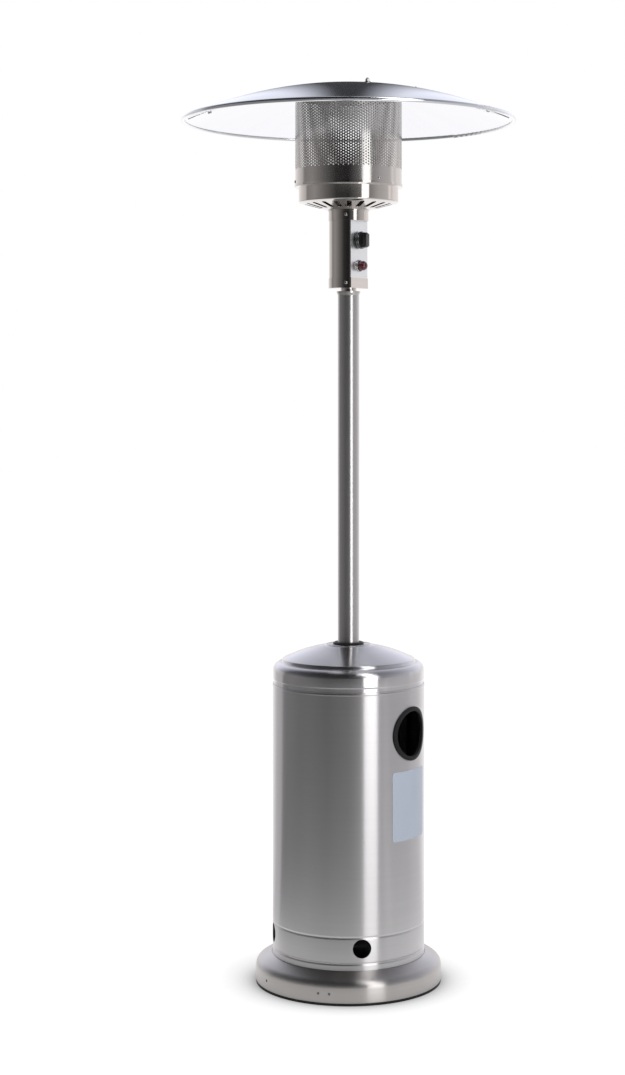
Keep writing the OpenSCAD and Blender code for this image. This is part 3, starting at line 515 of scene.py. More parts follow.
def turned_normals(mesh: Mesh) -> None:
    """Makes the normals of faces that are turned about the heater's axis follow that turning exactly.

    Args:
        mesh: A creased mesh whose main faces are surfaces of revolution about Z.
    """
    normals = [corner.vector.copy() for corner in mesh.corner_normals]
    for face in mesh.polygons:
        across = Vector((-face.center.y, face.center.x, 0.0))
        if across.length < TINY or abs(face.normal.dot(across.normalized())) > END_LEAN:
            continue
        for loop in face.loop_indices:
            point = mesh.vertices[mesh.loops[loop].vertex_index].co
            tangent = Vector((-point.y, point.x, 0.0))
            if tangent.length < TINY:
                continue
            tangent.normalize()
            fixed = normals[loop] - tangent * normals[loop].dot(tangent)
            if fixed.length > TINY:
                normals[loop] = fixed.normalized()
    mesh.normals_split_custom_set(normals)


def lathe_mesh(name: str, profile: Profile, segments: int, closed: bool = False) -> Mesh:
    """Turns a profile about Z.

    Args:
        name: The mesh's name.
        profile: Points of radius and height, in metres, with the outside on the right of the way they run.
        segments: Faces around the axis.
        closed: Whether the profile's last point joins its first.

    Returns:
        The mesh.
    """
    made = bmesh.new()
    rings = []
    for step in range(segments):
        angle = 2.0 * math.pi * step / segments
        rings.append([made.verts.new((r * math.cos(angle), r * math.sin(angle), z)) for r, z in profile])
    last = len(profile) if closed else len(profile) - 1
    for step in range(segments):
        here, there = rings[step], rings[(step + 1) % segments]
        for i in range(last):
            j = (i + 1) % len(profile)
            made.faces.new((here[i], there[i], there[j], here[j]))
    bmesh.ops.remove_doubles(made, verts=made.verts, dist=TINY)
    return new_mesh(name, made)


@dataclass(frozen=True)
class Dressing:
    """A finish for some CAD nodes, and how their copies are smoothed.

    Attributes:
        finish: The finish.
        nodes: The CAD nodes, with blanks between them.
        shading: How the copies take their normals.
        degrees: The least angle of an edge that stays sharp.
        bevel: Width of a rounded edge, in metres, or 0.
    """

    finish: Finish
    nodes: str
    shading: Shading = Shading.CREASED
    degrees: float = CREASE
    bevel: float = 0.0


class Heater:
    """The loaded frame, the materials, and the ways to add a piece to a body."""

    def __init__(self) -> None:
        """Loads the frame and builds the shared shader groups."""
        self.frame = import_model()
        self.cad_box = [list(corner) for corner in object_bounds()]
        self.effects = Effects()
        self.made: dict[str, Material] = {}
        groups = self.frame["record"]["behaviour"]["bodies"]
        self.body_of = {node: body for body, nodes in groups.items() for node in nodes}

    def material(self, finish: Finish) -> Material:
        """Gives the material of a finish, and builds it on first use.

        Args:
            finish: The finish.

        Returns:
            Its material.
        """
        if finish.name not in self.made:
            self.made[finish.name] = finish.material(self.effects)
        return self.made[finish.name]

    def dress(self, node: str, dressing: Dressing) -> None:
        """Puts a smooth copy of a CAD node in its place, with a finish.

        Args:
            node: The CAD node.
            dressing: Its finish and smoothing.
        """
        mesh = self.frame["nodes"][node].data.copy()
        made = bmesh.new()
        made.from_mesh(mesh)
        bmesh.ops.remove_doubles(made, verts=made.verts, dist=NODE_WELD)
        if dressing.bevel:
            bmesh.ops.dissolve_limit(made, angle_limit=math.radians(FLAT), verts=made.verts, edges=made.edges)
        made.to_mesh(mesh)
        made.free()
        if "custom_normal" in mesh.attributes:
            mesh.attributes.remove(mesh.attributes["custom_normal"])
        piece = new_object(f"{node}_dressed", mesh)
        if dressing.bevel:
            rounding = piece.modifiers.new("edge", "BEVEL")
            rounding.width = dressing.bevel
            rounding.segments = EDGE_SEGMENTS
            rounding.limit_method = "ANGLE"
            rounding.angle_limit = math.radians(dressing.degrees)
            apply_modifiers(piece)
        crease(piece.data, dressing.degrees)
        if dressing.shading is Shading.TURNED:
            turned_normals(piece.data)
        piece.data.materials.clear()
        piece.data.materials.append(self.material(dressing.finish))
        self.add(piece, self.body_of[node], dressing.finish, node)

    def add(self, piece: Object, body: str, finish: Finish, *nodes: str) -> None:
        """Makes a piece ride on a body, and stand for CAD nodes if there are any.

        Args:
            piece: The piece, in place.
            body: The CAD body that carries it.
            finish: Not used.
            *nodes: CAD nodes that it stands for.
        """
        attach(piece, body)
        if nodes:
            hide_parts(*nodes)
        LOG.info("%s: %d faces on %s", piece.name, len(piece.data.polygons), body)


class GeometryTree:
    """A Geometry Nodes tree with named inputs, run on a host mesh."""

    def __init__(self, name: str, **inputs: str) -> None:
        """Starts a tree with its sockets and its input node.

        Args:
            name: The tree's name.
            **inputs: The socket types of its inputs, by name with underscores for spaces.
        """
        self.group = bpy.data.node_groups.new(name, "GeometryNodeTree")
        for way in ("INPUT", "OUTPUT"):
            self.group.interface.new_socket("Geometry", in_out=way, socket_type="NodeSocketGeometry")
        self.identifiers = {
            label: self.group.interface.new_socket(label.replace("_", " "), in_out="INPUT", socket_type=kind).identifier
            for label, kind in inputs.items()
        }
        self.nodes = NodeTree(self.group)
        self.source = self.nodes.add("NodeGroupInput").outputs

    def end(self, geometry: Node) -> None:
        """Realizes the geometry and puts it out.

        Args:
            geometry: The tree's last geometry.
        """
        real = self.nodes.add("GeometryNodeRealizeInstances", Geometry=geometry)
        self.nodes.add("NodeGroupOutput", Geometry=real)

    def make(self, name: str, host: Mesh, steel: Material, **values: object) -> Object:
        """Runs the tree on a host mesh and keeps the result as a plain mesh.

        Args:
            name: The piece's name.
            host: The mesh that the tree starts from.
            steel: The piece's material.
            **values: The inputs, by name with underscores for spaces.

        Returns:
            The piece, with no modifier.
        """
        piece = new_object(name, host)
        modifier = piece.modifiers.new(self.group.name, "NODES")
        modifier.node_group = self.group
        for label, value in values.items():
            modifier[self.identifiers[label]] = value
        apply_modifiers(piece)
        mesh = piece.data
        mesh.materials.clear()
        mesh.materials.append(steel)
        mesh.polygons.foreach_set("material_index", [0] * len(mesh.polygons))
        return piece


def open_cell(tree: NodeTree, half_width: Socket, half_height: Socket, hole_radius: Socket) -> Node:
    """Makes one flat cell of a perforated sheet: a rectangle with an eight-sided hole.

    Args:
        tree: The geometry tree's nodes.
        half_width: Half the cell's width.
        half_height: Half its height.
        hole_radius: The hole's radius.

    Returns:
        The cell's mesh, on the origin.
    """
    ring = tree.add("GeometryNodeMeshCircle", fill_type="NGON", Vertices=8, Radius=1.0)
    where = tree.add("GeometryNodeInputPosition")
    split = tree.add("ShaderNodeSeparateXYZ", Vector=where)
    corner = tree.add("ShaderNodeCombineXYZ")
    for axis, half in (("X", half_width), ("Y", half_height)):
        wide = tree.math("MULTIPLY", split.outputs[axis], math.sqrt(2.0))
        kept = tree.math("MAXIMUM", tree.math("MINIMUM", wide, 1.0), -1.0)
        tree.feed(tree.math("MULTIPLY", kept, half), corner.inputs[axis])
    cell = tree.add("GeometryNodeSetPosition", Geometry=ring, Position=corner)
    inset = tree.add("GeometryNodeExtrudeMesh", Mesh=cell, Offset_Scale=0.0).outputs
    outward = tree.add("ShaderNodeVectorMath", operation="NORMALIZE", Vector=where)
    edge = tree.add("ShaderNodeVectorMath", operation="SCALE", Vector=outward, Scale=hole_radius)
    hole = tree.add("GeometryNodeSetPosition", Geometry=inset["Mesh"], Selection=inset["Top"], Position=edge)
    return tree.add("GeometryNodeDeleteGeometry", domain="FACE", Geometry=hole, Selection=inset["Top"])


def rolled_wall(made: GeometryTree, flat: Node) -> Node:
    """Rolls a flat sheet round the heater's axis and gives it a thickness.

    Args:
        made: The tree, with inputs for the wall's radius, thickness and lowest height.
        flat: The sheet.

    Returns:
        The wall's mesh.
    """
    tree, radius = made.nodes, made.source["Radius"]
    split = tree.add("ShaderNodeSeparateXYZ", Vector=tree.add("GeometryNodeInputPosition"))
    angle = tree.math("DIVIDE", split.outputs["X"], radius)
    bent = tree.add(
        "ShaderNodeCombineXYZ", X=tree.math("MULTIPLY", tree.math("COSINE", angle), radius),
        Y=tree.math("MULTIPLY", tree.math("SINE", angle), radius),
        Z=tree.math("ADD", split.outputs["Y"], made.source["Lowest"]))
    rolled = tree.add("GeometryNodeSetPosition", Geometry=flat, Position=bent)
    outside = tree.add("GeometryNodeMergeByDistance", Geometry=rolled, Distance=SHEET_WELD)
    inward = tree.math("MULTIPLY", made.source["Thickness"], -1.0)
    wall = tree.add("GeometryNodeExtrudeMesh", Mesh=outside, Individual=False, Offset_Scale=inward)
    inside = tree.add("GeometryNodeFlipFaces", Mesh=wall)
    both = tree.join(inside, outside)
    return tree.add("GeometryNodeMergeByDistance", Geometry=both, Distance=SHEET_WELD)


def perforated_wall_tree() -> GeometryTree:
    """Makes the tree for a round wall whose holes stand in columns, each column half a pitch up from the next.

    Returns:
        The tree, with inputs for the wall's radius, thickness and height, and the holes' count, pitch and radius.
    """
    lengths = dict.fromkeys(("Radius", "Thickness", "Row_Pitch", "Hole_Radius", "Lowest"), "NodeSocketFloat")
    counts = dict.fromkeys(("Columns", "Rows"), "NodeSocketInt")
    made = GeometryTree("perforated_wall", **lengths, **counts)
    tree = made.nodes
    columns, rows, row_pitch = (made.source[label] for label in ("Columns", "Rows", "Row Pitch"))
    pitch = tree.math("DIVIDE", tree.math("MULTIPLY", made.source["Radius"], 2.0 * math.pi), columns)
    half_row = tree.math("MULTIPLY", row_pitch, 0.5)
    index = tree.add("GeometryNodeInputIndex")

    # Open cells: the odd columns stand half a pitch higher and have one cell fewer.
    cell = open_cell(tree, tree.math("MULTIPLY", pitch, 0.5), half_row, made.source["Hole Radius"])
    points = tree.add("GeometryNodePoints", Count=tree.math("MULTIPLY", columns, rows))
    row = tree.math("FLOOR", tree.math("DIVIDE", tree.math("ADD", index, 0.5), columns))
    column = tree.math("SUBTRACT", index, tree.math("MULTIPLY", row, columns))
    odd = tree.math("MODULO", column, 2.0)
    top_row = tree.math("GREATER_THAN", row, tree.math("SUBTRACT", rows, 1.5))
    rise = tree.math("ADD", row, tree.math("MULTIPLY", tree.math("ADD", odd, 1.0), 0.5))
    place = tree.add(
        "ShaderNodeCombineXYZ", X=tree.math("MULTIPLY", column, pitch), Y=tree.math("MULTIPLY", rise, row_pitch))
    placed = tree.add("GeometryNodeSetPosition", Geometry=points, Position=place)
    kept = tree.add("GeometryNodeDeleteGeometry", Geometry=placed, Selection=tree.math("MULTIPLY", odd, top_row))
    cells = tree.add("GeometryNodeInstanceOnPoints", Points=kept, Instance=cell)

    # Plain half cells close the odd columns at both ends.
    plain = tree.add("GeometryNodeMeshGrid", Vertices_X=3, Vertices_Y=2, Size_X=pitch, Size_Y=half_row)
    ends = tree.add("GeometryNodePoints", Count=columns)
    upper = tree.math("MODULO", index, 2.0)
    filled = tree.math("ADD", tree.math("SUBTRACT", index, upper), 1.0)
    tall = tree.math("MULTIPLY", tree.math("SUBTRACT", rows, 0.5), row_pitch)
    height = tree.math("ADD", tree.math("MULTIPLY", half_row, 0.5), tree.math("MULTIPLY", upper, tall))
    place = tree.add("ShaderNodeCombineXYZ", X=tree.math("MULTIPLY", filled, pitch), Y=height)
    placed = tree.add("GeometryNodeSetPosition", Geometry=ends, Position=place)
    fillers = tree.add("GeometryNodeInstanceOnPoints", Points=placed, Instance=plain)

    sheet = tree.join(cells, fillers)
    flat = tree.add("GeometryNodeRealizeInstances", Geometry=sheet)
    made.end(rolled_wall(made, flat))
    return made


def screw_set_tree() -> GeometryTree:
    """Makes the tree that puts one screw on each point of a host mesh, turned along the point's outward direction.

    Returns:
        The tree, with an input for the screw.
    """
    made = GeometryTree("screw_set", Screw="NodeSocketObject")
    tree = made.nodes
    outward = tree.add("GeometryNodeInputNamedAttribute", data_type="FLOAT_VECTOR", Name="outward")
    aim = tree.add("FunctionNodeAlignRotationToVector", axis="Z", Vector=outward)
    shape = tree.add("GeometryNodeObjectInfo", Object=made.source["Screw"])
    screws = tree.add(
        "GeometryNodeInstanceOnPoints", Points=made.source["Geometry"], Instance=shape.outputs["Geometry"],
        Rotation=aim)
    made.end(screws)
    return made


@dataclass
class ScrewSet:
    """Pan-head screws with a cross recess, set square into round walls.

    Each row is a screw's degrees round from the front, its radius and its height.
    """

    rows: list[tuple[float, float, float]]
    head_radius: float = 0.004
    head_height: float = 0.0024
    rim_share: float = 0.35
    dome_steps: int = 6
    shank_depth: float = 0.0015
    recess_length: float = 0.0042
    recess_width: float = 0.0009
    recess_depth: float = 0.0012
    segments: int = 24

    def template(self) -> Object:
        """Makes one screw on the origin, with its cross cut in.

        Returns:
            The screw, to be removed once it is copied.
        """
        angles = [math.pi / 2.0 * step / self.dome_steps for step in range(self.dome_steps)]
        dome = [(self.head_radius * math.cos(a),
                 self.head_height * (self.rim_share + (1.0 - self.rim_share) * math.sin(a))) for a in angles]
        shank = self.head_radius / 2.0
        profile = [(0.0, -self.shank_depth), (shank, -self.shank_depth), (shank, 0.0), (self.head_radius, 0.0),
                   *dome, (0.0, self.head_height)]
        screw = new_object("screw_template", lathe_mesh("screw_template", profile, self.segments))
        cutters = bmesh.new()
        for size in ((self.recess_length, self.recess_width), (self.recess_width, self.recess_length)):
            scale = Matrix.Diagonal((*size, 2.0 * self.recess_depth, 1.0))
            bmesh.ops.create_cube(cutters, size=1.0, matrix=Matrix.Translation((0.0, 0.0, self.head_height)) @ scale)
        cutter = new_object("cross_cutter", new_mesh("cross_cutter", cutters))
        cut = screw.modifiers.new("cross", "BOOLEAN")
        cut.object = cutter
        cut.solver = "EXACT"
        cut.use_self = True
        apply_modifiers(screw)
        bpy.data.objects.remove(cutter)
        crease(screw.data, SCREW_CREASE)
        return screw

    def build(self, name: str, heater: Heater, *nodes: str) -> None:
        """Puts a screw at each place and lets the set stand for CAD nodes.

        Args:
            name: The set's name.
            heater: The heater that the screws go on.
            *nodes: The CAD nodes that the set stands for.
        """
        screw = self.template()
        outward = []
        places = []
        for degrees, radius, height in self.rows:
            angle = math.radians(degrees)
            direction = Vector((math.sin(angle), -math.cos(angle), 0.0))
            places.append(direction * radius + Vector((0.0, 0.0, height)))
            outward.extend(direction)
        host = bpy.data.meshes.new(f"{name}_places")
        host.from_pydata(places, [], [])
        host.attributes.new("outward", "FLOAT_VECTOR", "POINT").data.foreach_set("vector", outward)
        piece = screw_set_tree().make(name, host, heater.material(FIXING_STEEL), Screw=screw)
        bpy.data.objects.remove(screw)
        crease(piece.data, SCREW_CREASE)
        heater.add(piece, "stand", FIXING_STEEL, *nodes)


@dataclass
class Assembly:
    """A sub-assembly of the heater.

    Attributes:
        name: Its name in the log.
        dressings: The finishes of its CAD nodes, in order.
    """

    name: str
    dressings: tuple[Dressing, ...]

    def build(self, heater: Heater) -> None:
        """Dresses the CAD nodes, then makes the assembly's own pieces.

        Args:
            heater: The heater that the pieces go on.
        """
        for dressing in self.dressings:
            for node in dressing.nodes.split():
                heater.dress(node, dressing)
        self.make_pieces(heater)
        LOG.info("%s is dressed", self.name)

    def make_pieces(self, heater: Heater) -> None:
        """Makes the pieces that aren't plain copies of CAD nodes; here there are none.

        Args:
            heater: The heater that the pieces go on.
        """


BASE = Assembly("base", (
    Dressing(BASE_STEEL, "base_dish", Shading.TURNED, SHEET_CREASE),
    Dressing(BLACK_PLASTIC, "base_edge_trim", Shading.TURNED),
    Dressing(LEG_PAINT, "left_leg right_leg rear_leg", bevel=LEG_EDGE),
    Dressing(LEG_PAINT, "pole_plate"),
    Dressing(FIXING_STEEL, "leg_foot_bolts leg_foot_nuts leg_top_bolts leg_top_nuts"),
    Dressing(GAS_BRASS, "gas_inlet_fitting"),
))
POLE = Assembly("pole", (
    Dressing(POLE_STEEL, "pole", Shading.TURNED),
    Dressing(POLISHED_STEEL, "pole_collar", Shading.TURNED),
    Dressing(FIXING_STEEL, "neck_nut"),
    Dressing(GAS_BRASS, "gas_pipe"),
))
REFLECTOR = Assembly("reflector", (
    Dressing(REFLECTOR_SHEET, "reflector_half_left reflector_half_right", Shading.TURNED, SHEET_CREASE),
    Dressing(FIXING_STEEL, "reflector_studs reflector_spacers reflector_nuts seam_bolts seam_nuts"),
))


@dataclass
class Housing(Assembly):
    """The lift-up housing: cylinder, cap, bushing, handhold ring and a blank rating plate.

    The plate's lifts are the distances of its back and its face from the cylinder.
    """

    name: str = "housing"
    dressings: tuple[Dressing, ...] = (
        Dressing(HOUSING_STEEL, "housing_shell", Shading.TURNED, SHEET_CREASE),
        Dressing(CAP_STEEL, "housing_cap", Shading.TURNED, SHEET_CREASE),
        Dressing(BLACK_PLASTIC, "pole_bushing", Shading.TURNED),
        Dressing(BLACK_PLASTIC, "handhold_ring", bevel=RING_EDGE),
    )
    radius: float = 0.187
    plate_width: float = 0.134
    plate_low: float = 0.370
    plate_high: float = 0.537
    plate_lifts: tuple[float, float] = (0.00005, 0.0003)
    plate_corner: float = 0.004
    plate_columns: int = 32

    def make_pieces(self, heater: Heater) -> None:
        """Makes the blank plate under the handhold, bent to the housing.

        Args:
            heater: The heater that the plate goes on.
        """
        made = bmesh.new()
        half = self.plate_width / 2.0
        columns = []
        for step in range(self.plate_columns + 1):
            x = -half + self.plate_width * step / self.plate_columns
            short = max(0.0, abs(x) - (half - self.plate_corner))
            drop = self.plate_corner - math.sqrt(max(0.0, self.plate_corner**2 - short**2))
            angle = x / self.radius
            columns.append([
                made.verts.new(((self.radius + lift) * math.sin(angle), -(self.radius + lift) * math.cos(angle), z))
                for lift in self.plate_lifts
                for z in (self.plate_low + drop, self.plate_high - drop)
            ])
        for here, there in zip(columns, columns[1:]):
            for i, j in ((2, 3), (1, 0), (0, 2), (3, 1)):
                made.faces.new((here[i], there[i], there[j], here[j]))
        for end, turn in ((columns[0], 1), (columns[-1], -1)):
            made.faces.new((end[0], end[2], end[3], end[1])[::turn])
        bmesh.ops.recalc_face_normals(made, faces=made.faces)
        mesh = new_mesh("rating_plate", made)
        crease(mesh, SHEET_CREASE)
        mesh.materials.append(heater.material(PLATE_FILM))
        heater.add(new_object("rating_plate", mesh), "housing", PLATE_FILM)


@dataclass
class ControlHead(Assembly):
    """The control head between pole and burner, with its knob and igniter."""

    name: str = "control head"
    dressings: tuple[Dressing, ...] = (
        Dressing(POLISHED_STEEL, "control_shell", Shading.TURNED),
        Dressing(PANEL_STEEL, "control_panel"),
        Dressing(POLISHED_STEEL, "control_bottom_collar control_top_collar", Shading.TURNED),
        Dressing(GAS_BRASS, "gas_valve"),
        Dressing(WHITE_PLASTIC, "tilt_switch"),
        Dressing(BLACK_PLASTIC, "igniter_body"),
        Dressing(FIXING_STEEL, "igniter_bezel", bevel=BEZEL_EDGE),
        Dressing(BUTTON_RED, "igniter_button", degrees=BUTTON_CREASE),
        Dressing(KNOB_PLASTIC, "control_knob", bevel=KNOB_EDGE),
        Dressing(FIXING_STEEL, "valve_spindle spindle_spring_cap"),
    )
    collar_radius: float = 0.04925
    screw_angles: tuple[float, ...] = (-63.0, 63.0, 180.0)

    def make_pieces(self, heater: Heater) -> None:
        """Makes the screws in the collars.

        Args:
            heater: The heater that the screws go on.
        """
        low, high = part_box("control_bottom_collar"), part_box("control_top_collar")
        heights = [(bottom.z + top.z) / 2.0 for bottom, top in (low, high)]
        rows = [(angle, self.collar_radius, z) for z in heights for angle in self.screw_angles]
        ScrewSet(rows).build("collar_screw_set", heater, "collar_screws")


@dataclass
class BurnerHead(Assembly):
    """The slotted bowl, the burner and pilot, and the perforated emitter screen on top.

    The holes stand in an even number of columns, between a plain band and a plain top margin.
    """

    name: str = "burner head"
    dressings: tuple[Dressing, ...] = (
        Dressing(POLISHED_STEEL, "burner_bowl", Shading.TURNED, SHEET_CREASE),
        Dressing(FIXING_STEEL, "bowl_screws"),
        Dressing(SCREEN_STEEL, "emitter_top", Shading.TURNED),
        Dressing(BURNT_STEEL, "burner_plate burner_head burner_venturi pilot_bracket thermocouple"),
        Dressing(GAS_BRASS, "burner_supply_pipe burner_jet pilot_burner pilot_tube thermocouple_lead"),
        Dressing(CERAMIC, "ignition_electrode"),
        Dressing(LEAD_RUBBER, "ignition_lead"),
    )
    columns: int = 134
    rows: int = 27
    hole_radius: float = 0.0023
    thickness: float = 0.0008
    band: float = 0.041
    top_margin: float = 0.004
    screw_angles: tuple[float, ...] = (-140.0, -20.0, 100.0)
    screw_rise: float = 0.013

    def make_pieces(self, heater: Heater) -> None:
        """Makes the emitter screen, perforated between a plain band and a plain top edge, and its screws.

        Args:
            heater: The heater that the screen goes on.
        """
        low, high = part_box("emitter_screen")
        radius = high.x
        inner = radius - self.thickness
        bottom = low.z + self.band
        pitch = (high.z - self.top_margin - bottom) / self.rows
        screen = perforated_wall_tree().make(
            "emitter_screen_fine", bpy.data.meshes.new("screen_host"), heater.material(SCREEN_STEEL),
            Radius=radius, Thickness=self.thickness, Row_Pitch=pitch, Hole_Radius=self.hole_radius,
            Lowest=bottom, Columns=self.columns, Rows=self.rows)
        made = bmesh.new()
        made.from_mesh(screen.data)
        for start, end in ((low.z, bottom), (bottom + pitch * self.rows, high.z)):
            profile = [(inner, start), (radius, start), (radius, end), (inner, end)]
            strip = lathe_mesh("plain_strip", profile, 2 * self.columns, True)
            made.from_mesh(strip)
            bpy.data.meshes.remove(strip)
        made.to_mesh(screen.data)
        made.free()
        crease(screen.data, SHEET_CREASE)
        turned_normals(screen.data)
        heater.add(screen, "stand", SCREEN_STEEL, "emitter_screen")
        rows = [(angle, radius, low.z + self.screw_rise) for angle in self.screw_angles]
        ScrewSet(rows).build("screen_screw_set", heater, "screen_screws")


@dataclass
class PhotoView:
    """The camera, level and set as the photograph was taken.

    Attributes:
        azimuth: Degrees round from the front; negative is to the heater's left.
        focal: Focal length in pixels of the photograph.
        scale: Pixels per metre on the heater's axis.
        horizon: Row of the horizon.
        ground: Row of the ground on the heater's axis.
        column: Column of the heater's axis.
    """

    azimuth: float = -55.0
    focal: float = 2060.0
    scale: float = 404.4
    horizon: float = 385.0
    ground: float = 978.7
    column: float = 348.5

    def build(self) -> None:
        """Makes the camera and uses it for the scene."""
        turn = math.radians(self.azimuth)
        data = bpy.data.cameras.new("photo_camera")
        data.sensor_width = SENSOR_MM
        data.lens = self.focal / PHOTO_HEIGHT * SENSOR_MM
        data.shift_x = (PHOTO_WIDTH / 2.0 - self.column) / PHOTO_HEIGHT
        data.shift_y = (self.horizon - PHOTO_HEIGHT / 2.0) / PHOTO_HEIGHT
        camera = bpy.data.objects.new("photo_camera", data)
        distance = self.focal / self.scale
        camera.location = (math.sin(turn) * distance, -math.cos(turn) * distance,
                           (self.ground - self.horizon) / self.scale)
        camera.rotation_euler = (math.pi / 2.0, 0.0, turn)
        bpy.context.scene.collection.objects.link(camera)
        bpy.context.scene.camera = camera


@dataclass(frozen=True)
class Softbox:
    """A soft lamp at an angle round from the camera.

    Attributes:
        name: The lamp's name.
        angle: Degrees round from the camera, positive to the camera's right.
        distance: Distance from the heater's axis, in metres.
        height: Height of its centre.
        width: Its width.
        length: Its height.
        power: Its power in watts.
        mirrored: Whether glossy surfaces show it.
        aim: The greatest height on the heater's axis that it faces.
    """

    name: str
    angle: float
    distance: float
    height: float
    width: float
    length: float
    power: float
    mirrored: bool
    aim: float = 1.2

    def build(self, azimuth: float) -> None:
        """Makes the lamp and turns it to the heater's axis, level if it stands no higher than its aim.

        Args:
            azimuth: The camera's azimuth.
        """
        data = bpy.data.lights.new(self.name, "AREA")
        data.shape = "RECTANGLE"
        data.size = self.width
        data.size_y = self.length
        data.energy = self.power
        lamp = bpy.data.objects.new(self.name, data)
        turn = math.radians(azimuth + self.angle)
        lamp.location = (math.sin(turn) * self.distance, -math.cos(turn) * self.distance, self.height)
        facing = lamp.location - Vector((0.0, 0.0, min(self.height, self.aim)))
        lamp.rotation_euler = facing.to_track_quat("Z", "Y").to_euler()
        lamp.visible_camera = False
        lamp.visible_glossy = self.mirrored
        bpy.context.scene.collection.objects.link(lamp)


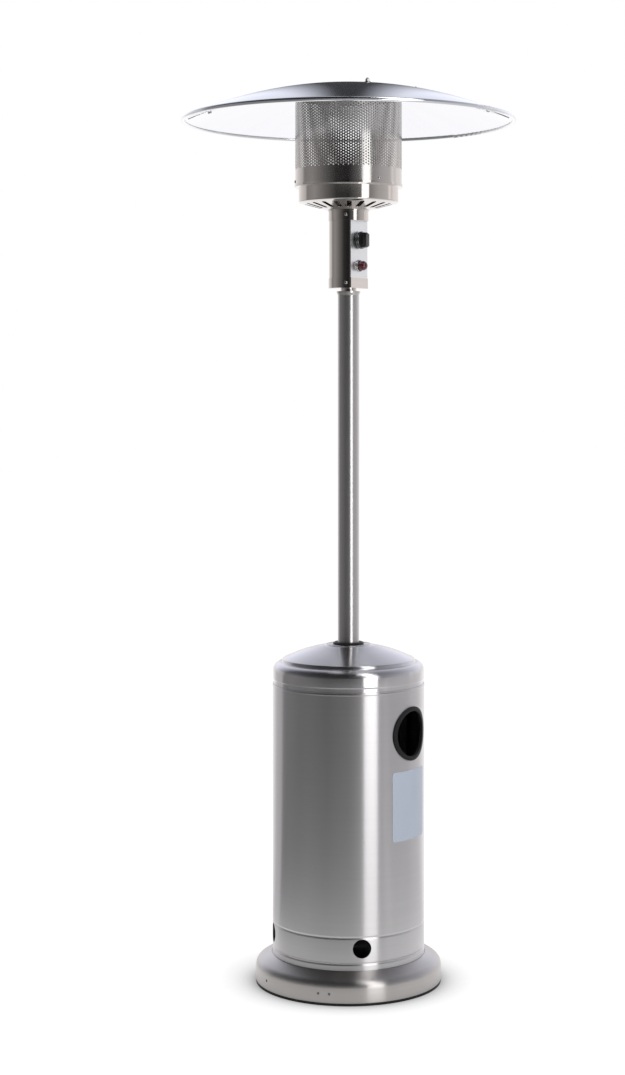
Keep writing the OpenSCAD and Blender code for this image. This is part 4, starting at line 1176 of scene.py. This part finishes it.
@dataclass
class Studio:
    """A white studio: pale floor, white background behind, dim room on the camera's side, and softboxes.

    A ring lists degrees round from the camera towards its right, each with the room's light there in glossy surfaces.

    Attributes:
        view: The camera's place.
        floor_radius: Radius of the floor.
        floor_segments: Sides of the floor.
        floor_colour: Colour of the floor under the lamps.
        floor_glow: Strength of the floor's own light.
        floor_share: Share of that light in what is seen of the floor.
        contact_reach: Distance within which the heater's painted contact shadow darkens the floor's own glow.
        contact_power: How fast that painted shadow darkens.
        walls: Ring of light round the room.
        walls_tint: Its colour.
        ceiling: Ring of light high up.
        ceiling_tint: Its colour.
        ground: Ring of light on the room's floor.
        ground_tint: Its colour.
        climb: Heights on the unit sphere at which the walls pass into the ceiling.
        dimming: Heights on the unit sphere between which the ceiling loses light.
        zenith: Share of its light that the ceiling keeps at the top.
        soft_level: Light that comes evenly from all round.
        paper: Distances from the heater between which its white floor passes into the room's, in glossy surfaces.
        lamps: The softboxes.
    """

    view: PhotoView
    floor_radius: float = 30.0
    floor_segments: int = 64
    floor_colour: tuple[float, float, float, float] = (0.8, 0.8, 0.81, 1.0)
    floor_glow: float = 1.25
    floor_share: float = 0.7
    contact_reach: float = 0.12
    contact_power: float = 1.7
    walls: Ring = (
        (0.0, 0.015), (20.0, 0.11), (50.0, 0.25), (72.0, 0.50), (103.0, 0.65), (108.0, 1.0), (112.0, 1.0),
        (117.0, 0.78), (128.0, 1.0), (205.0, 1.0), (244.0, 0.62), (248.0, 0.30), (275.0, 0.36), (306.0, 0.17),
        (333.0, 0.035),
    )
    walls_tint: Colour = (1.0, 0.955, 0.94)
    ceiling: Ring = (
        (0.0, 0.02), (50.0, 0.30), (100.0, 0.60), (150.0, 1.15), (174.6, 1.15), (178.2, 0.05), (181.8, 0.05),
        (185.4, 1.15), (210.0, 1.15), (238.0, 0.38), (250.0, 0.13), (300.0, 0.04),
    )
    ceiling_tint: Colour = (0.95, 0.97, 1.09)
    ground: Ring = (
        (0.0, 0.10), (16.0, 0.20), (46.0, 0.42), (57.0, 0.66), (66.0, 0.50), (100.0, 0.50), (130.0, 0.66),
        (150.0, 1.09), (200.0, 1.09), (222.0, 0.50), (241.0, 0.45), (243.0, 0.07), (262.0, 0.10), (280.0, 0.045),
        (300.0, 0.07), (330.0, 0.02), (338.0, 0.055),
    )
    ground_tint: Colour = (1.0, 0.985, 0.99)
    climb: tuple[float, float] = (0.10, 0.20)
    dimming: tuple[float, float] = (0.25, 0.85)
    zenith: float = 0.5
    soft_level: float = 0.62
    paper: tuple[float, float] = (0.35, 0.85)
    lamps: tuple[Softbox, ...] = (
        Softbox("key_strip", 32.5, 3.2, 0.8, 1.15, 1.6, 17.0, True),
        Softbox("high_strip", 38.5, 3.2, 2.5, 1.05, 1.9, 9.5, True),
        Softbox("top_strip", 36.0, 2.4, 4.0, 1.0, 2.0, 20.0, True),
        Softbox("overhead", 10.0, 1.2, 4.2, 2.4, 2.4, 40.0, False),
    )

    def build(self) -> None:
        """Makes the world, floor and lamps."""
        self.world()
        self.floor()
        for lamp in self.lamps:
            lamp.build(self.view.azimuth)
        bpy.context.scene.view_settings.view_transform = "Standard"

    def ring(self, tree: NodeTree, place: Socket, stops: Ring, tint: Colour) -> Socket:
        """Adds a ramp of light round the room.

        Args:
            tree: The nodes of the world or the floor.
            place: A direction, or a place about the heater's axis.
            stops: Degrees and levels; the first stop also closes the ring.
            tint: The light's colour.

        Returns:
            The colour.
        """
        to_camera = (0.0, 0.0, math.radians(-90.0 - self.view.azimuth))
        turned = tree.add("ShaderNodeMapping", Vector=place, Rotation=to_camera)
        sweep = tree.add("ShaderNodeTexGradient", gradient_type="RADIAL", Vector=turned)
        ramp = tree.add("ShaderNodeValToRGB", Fac=sweep.outputs["Fac"])
        elements = ramp.color_ramp.elements
        elements.remove(elements[1])
        for i, (degrees, level) in enumerate((*stops, (360.0, stops[0][1]))):
            stop = elements[0] if i == 0 else elements.new(degrees / 360.0)
            stop.position = degrees / 360.0
            stop.color = (*(level * part for part in tint), 1.0)
        return ramp.outputs["Color"]

    def world(self) -> None:
        """Lights the heater softly from all round, white to the camera and room-like in reflections."""
        world = bpy.data.worlds.new("studio")
        bpy.context.scene.world = world
        tree = fresh_nodes(world)
        ray = tree.add("ShaderNodeLightPath").outputs
        place = tree.add("ShaderNodeTexCoord").outputs["Generated"]
        height = tree.add("ShaderNodeSeparateXYZ", Vector=place).outputs["Z"]
        high = tree.add("ShaderNodeMapRange", Value=height, From_Min=self.climb[0], From_Max=self.climb[1])
        colour = tree.add(
            "ShaderNodeMix", data_type="RGBA", Factor=high,
            A=self.ring(tree, place, self.walls, self.walls_tint),
            B=self.ring(tree, place, self.ceiling, self.ceiling_tint))
        dim = tree.add(
            "ShaderNodeMapRange", Value=height, From_Min=self.dimming[0], From_Max=self.dimming[1], To_Min=1.0,
            To_Max=self.zenith)
        room = tree.add("ShaderNodeBackground", Color=colour, Strength=dim)
        soft = tree.add("ShaderNodeBackground", Color=WHITE, Strength=self.soft_level)
        white = tree.add("ShaderNodeBackground", Color=WHITE, Strength=1.0)
        light = tree.blend(ray["Is Glossy Ray"], soft, room)
        seen = tree.math("MAXIMUM", ray["Is Camera Ray"], ray["Is Transmission Ray"])
        tree.add("ShaderNodeOutputWorld", Surface=tree.blend(seen, light, white))

    def floor(self) -> None:
        """Makes the pale floor, which keeps the heater's cast shadow and carries a painted contact shadow in its own
        glow.
        """
        made = bmesh.new()
        bmesh.ops.create_circle(made, cap_ends=True, segments=self.floor_segments, radius=self.floor_radius)
        mesh = new_mesh("studio_floor", made)
        paint = bpy.data.materials.new("studio_floor")
        tree = fresh_nodes(paint)
        ray = tree.add("ShaderNodeLightPath").outputs
        place = tree.add("ShaderNodeTexCoord").outputs["Object"]
        matt = tree.add("ShaderNodeBsdfDiffuse", Color=self.floor_colour)
        away = tree.add("ShaderNodeVectorMath", operation="LENGTH", Vector=place)
        edge = tree.add(
            "ShaderNodeMapRange", interpolation_type="SMOOTHSTEP", Value=away, From_Min=self.paper[0],
            From_Max=self.paper[1])
        colour = tree.add(
            "ShaderNodeMix", data_type="RGBA", A=WHITE,
            Factor=tree.math("MULTIPLY", edge, ray["Is Glossy Ray"]),
            B=self.ring(tree, place, self.ground, self.ground_tint))
        # Painted contact shadow: ambient occlusion darkens the floor's own glow near the heater and under its base.
        contact = tree.add("ShaderNodeAmbientOcclusion", Distance=self.contact_reach)
        shadow = tree.math("POWER", contact.outputs["AO"], self.contact_power)
        glow = tree.add("ShaderNodeEmission", Color=colour, Strength=tree.math("MULTIPLY", shadow, self.floor_glow))
        mirrored = tree.math("MAXIMUM", ray["Is Glossy Ray"], ray["Is Transmission Ray"])
        seen = tree.math("MAXIMUM", ray["Is Camera Ray"], mirrored)
        share = tree.math("MULTIPLY", seen, self.floor_share)
        tree.add("ShaderNodeOutputMaterial", Surface=tree.blend(share, matt, glow))
        mesh.materials.append(paint)
        floor = new_object("studio_floor", mesh)
        floor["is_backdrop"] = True


def main() -> None:
    """Builds the camera, the studio and each sub-assembly."""
    logging.basicConfig(level=logging.INFO, format="%(name)s: %(message)s")
    heater = Heater()
    view = PhotoView()
    view.build()
    Studio(view).build()
    for part in (BASE, Housing(), POLE, ControlHead(), BurnerHead(), REFLECTOR):
        part.build(heater)


if __name__ == "__main__":
    main()
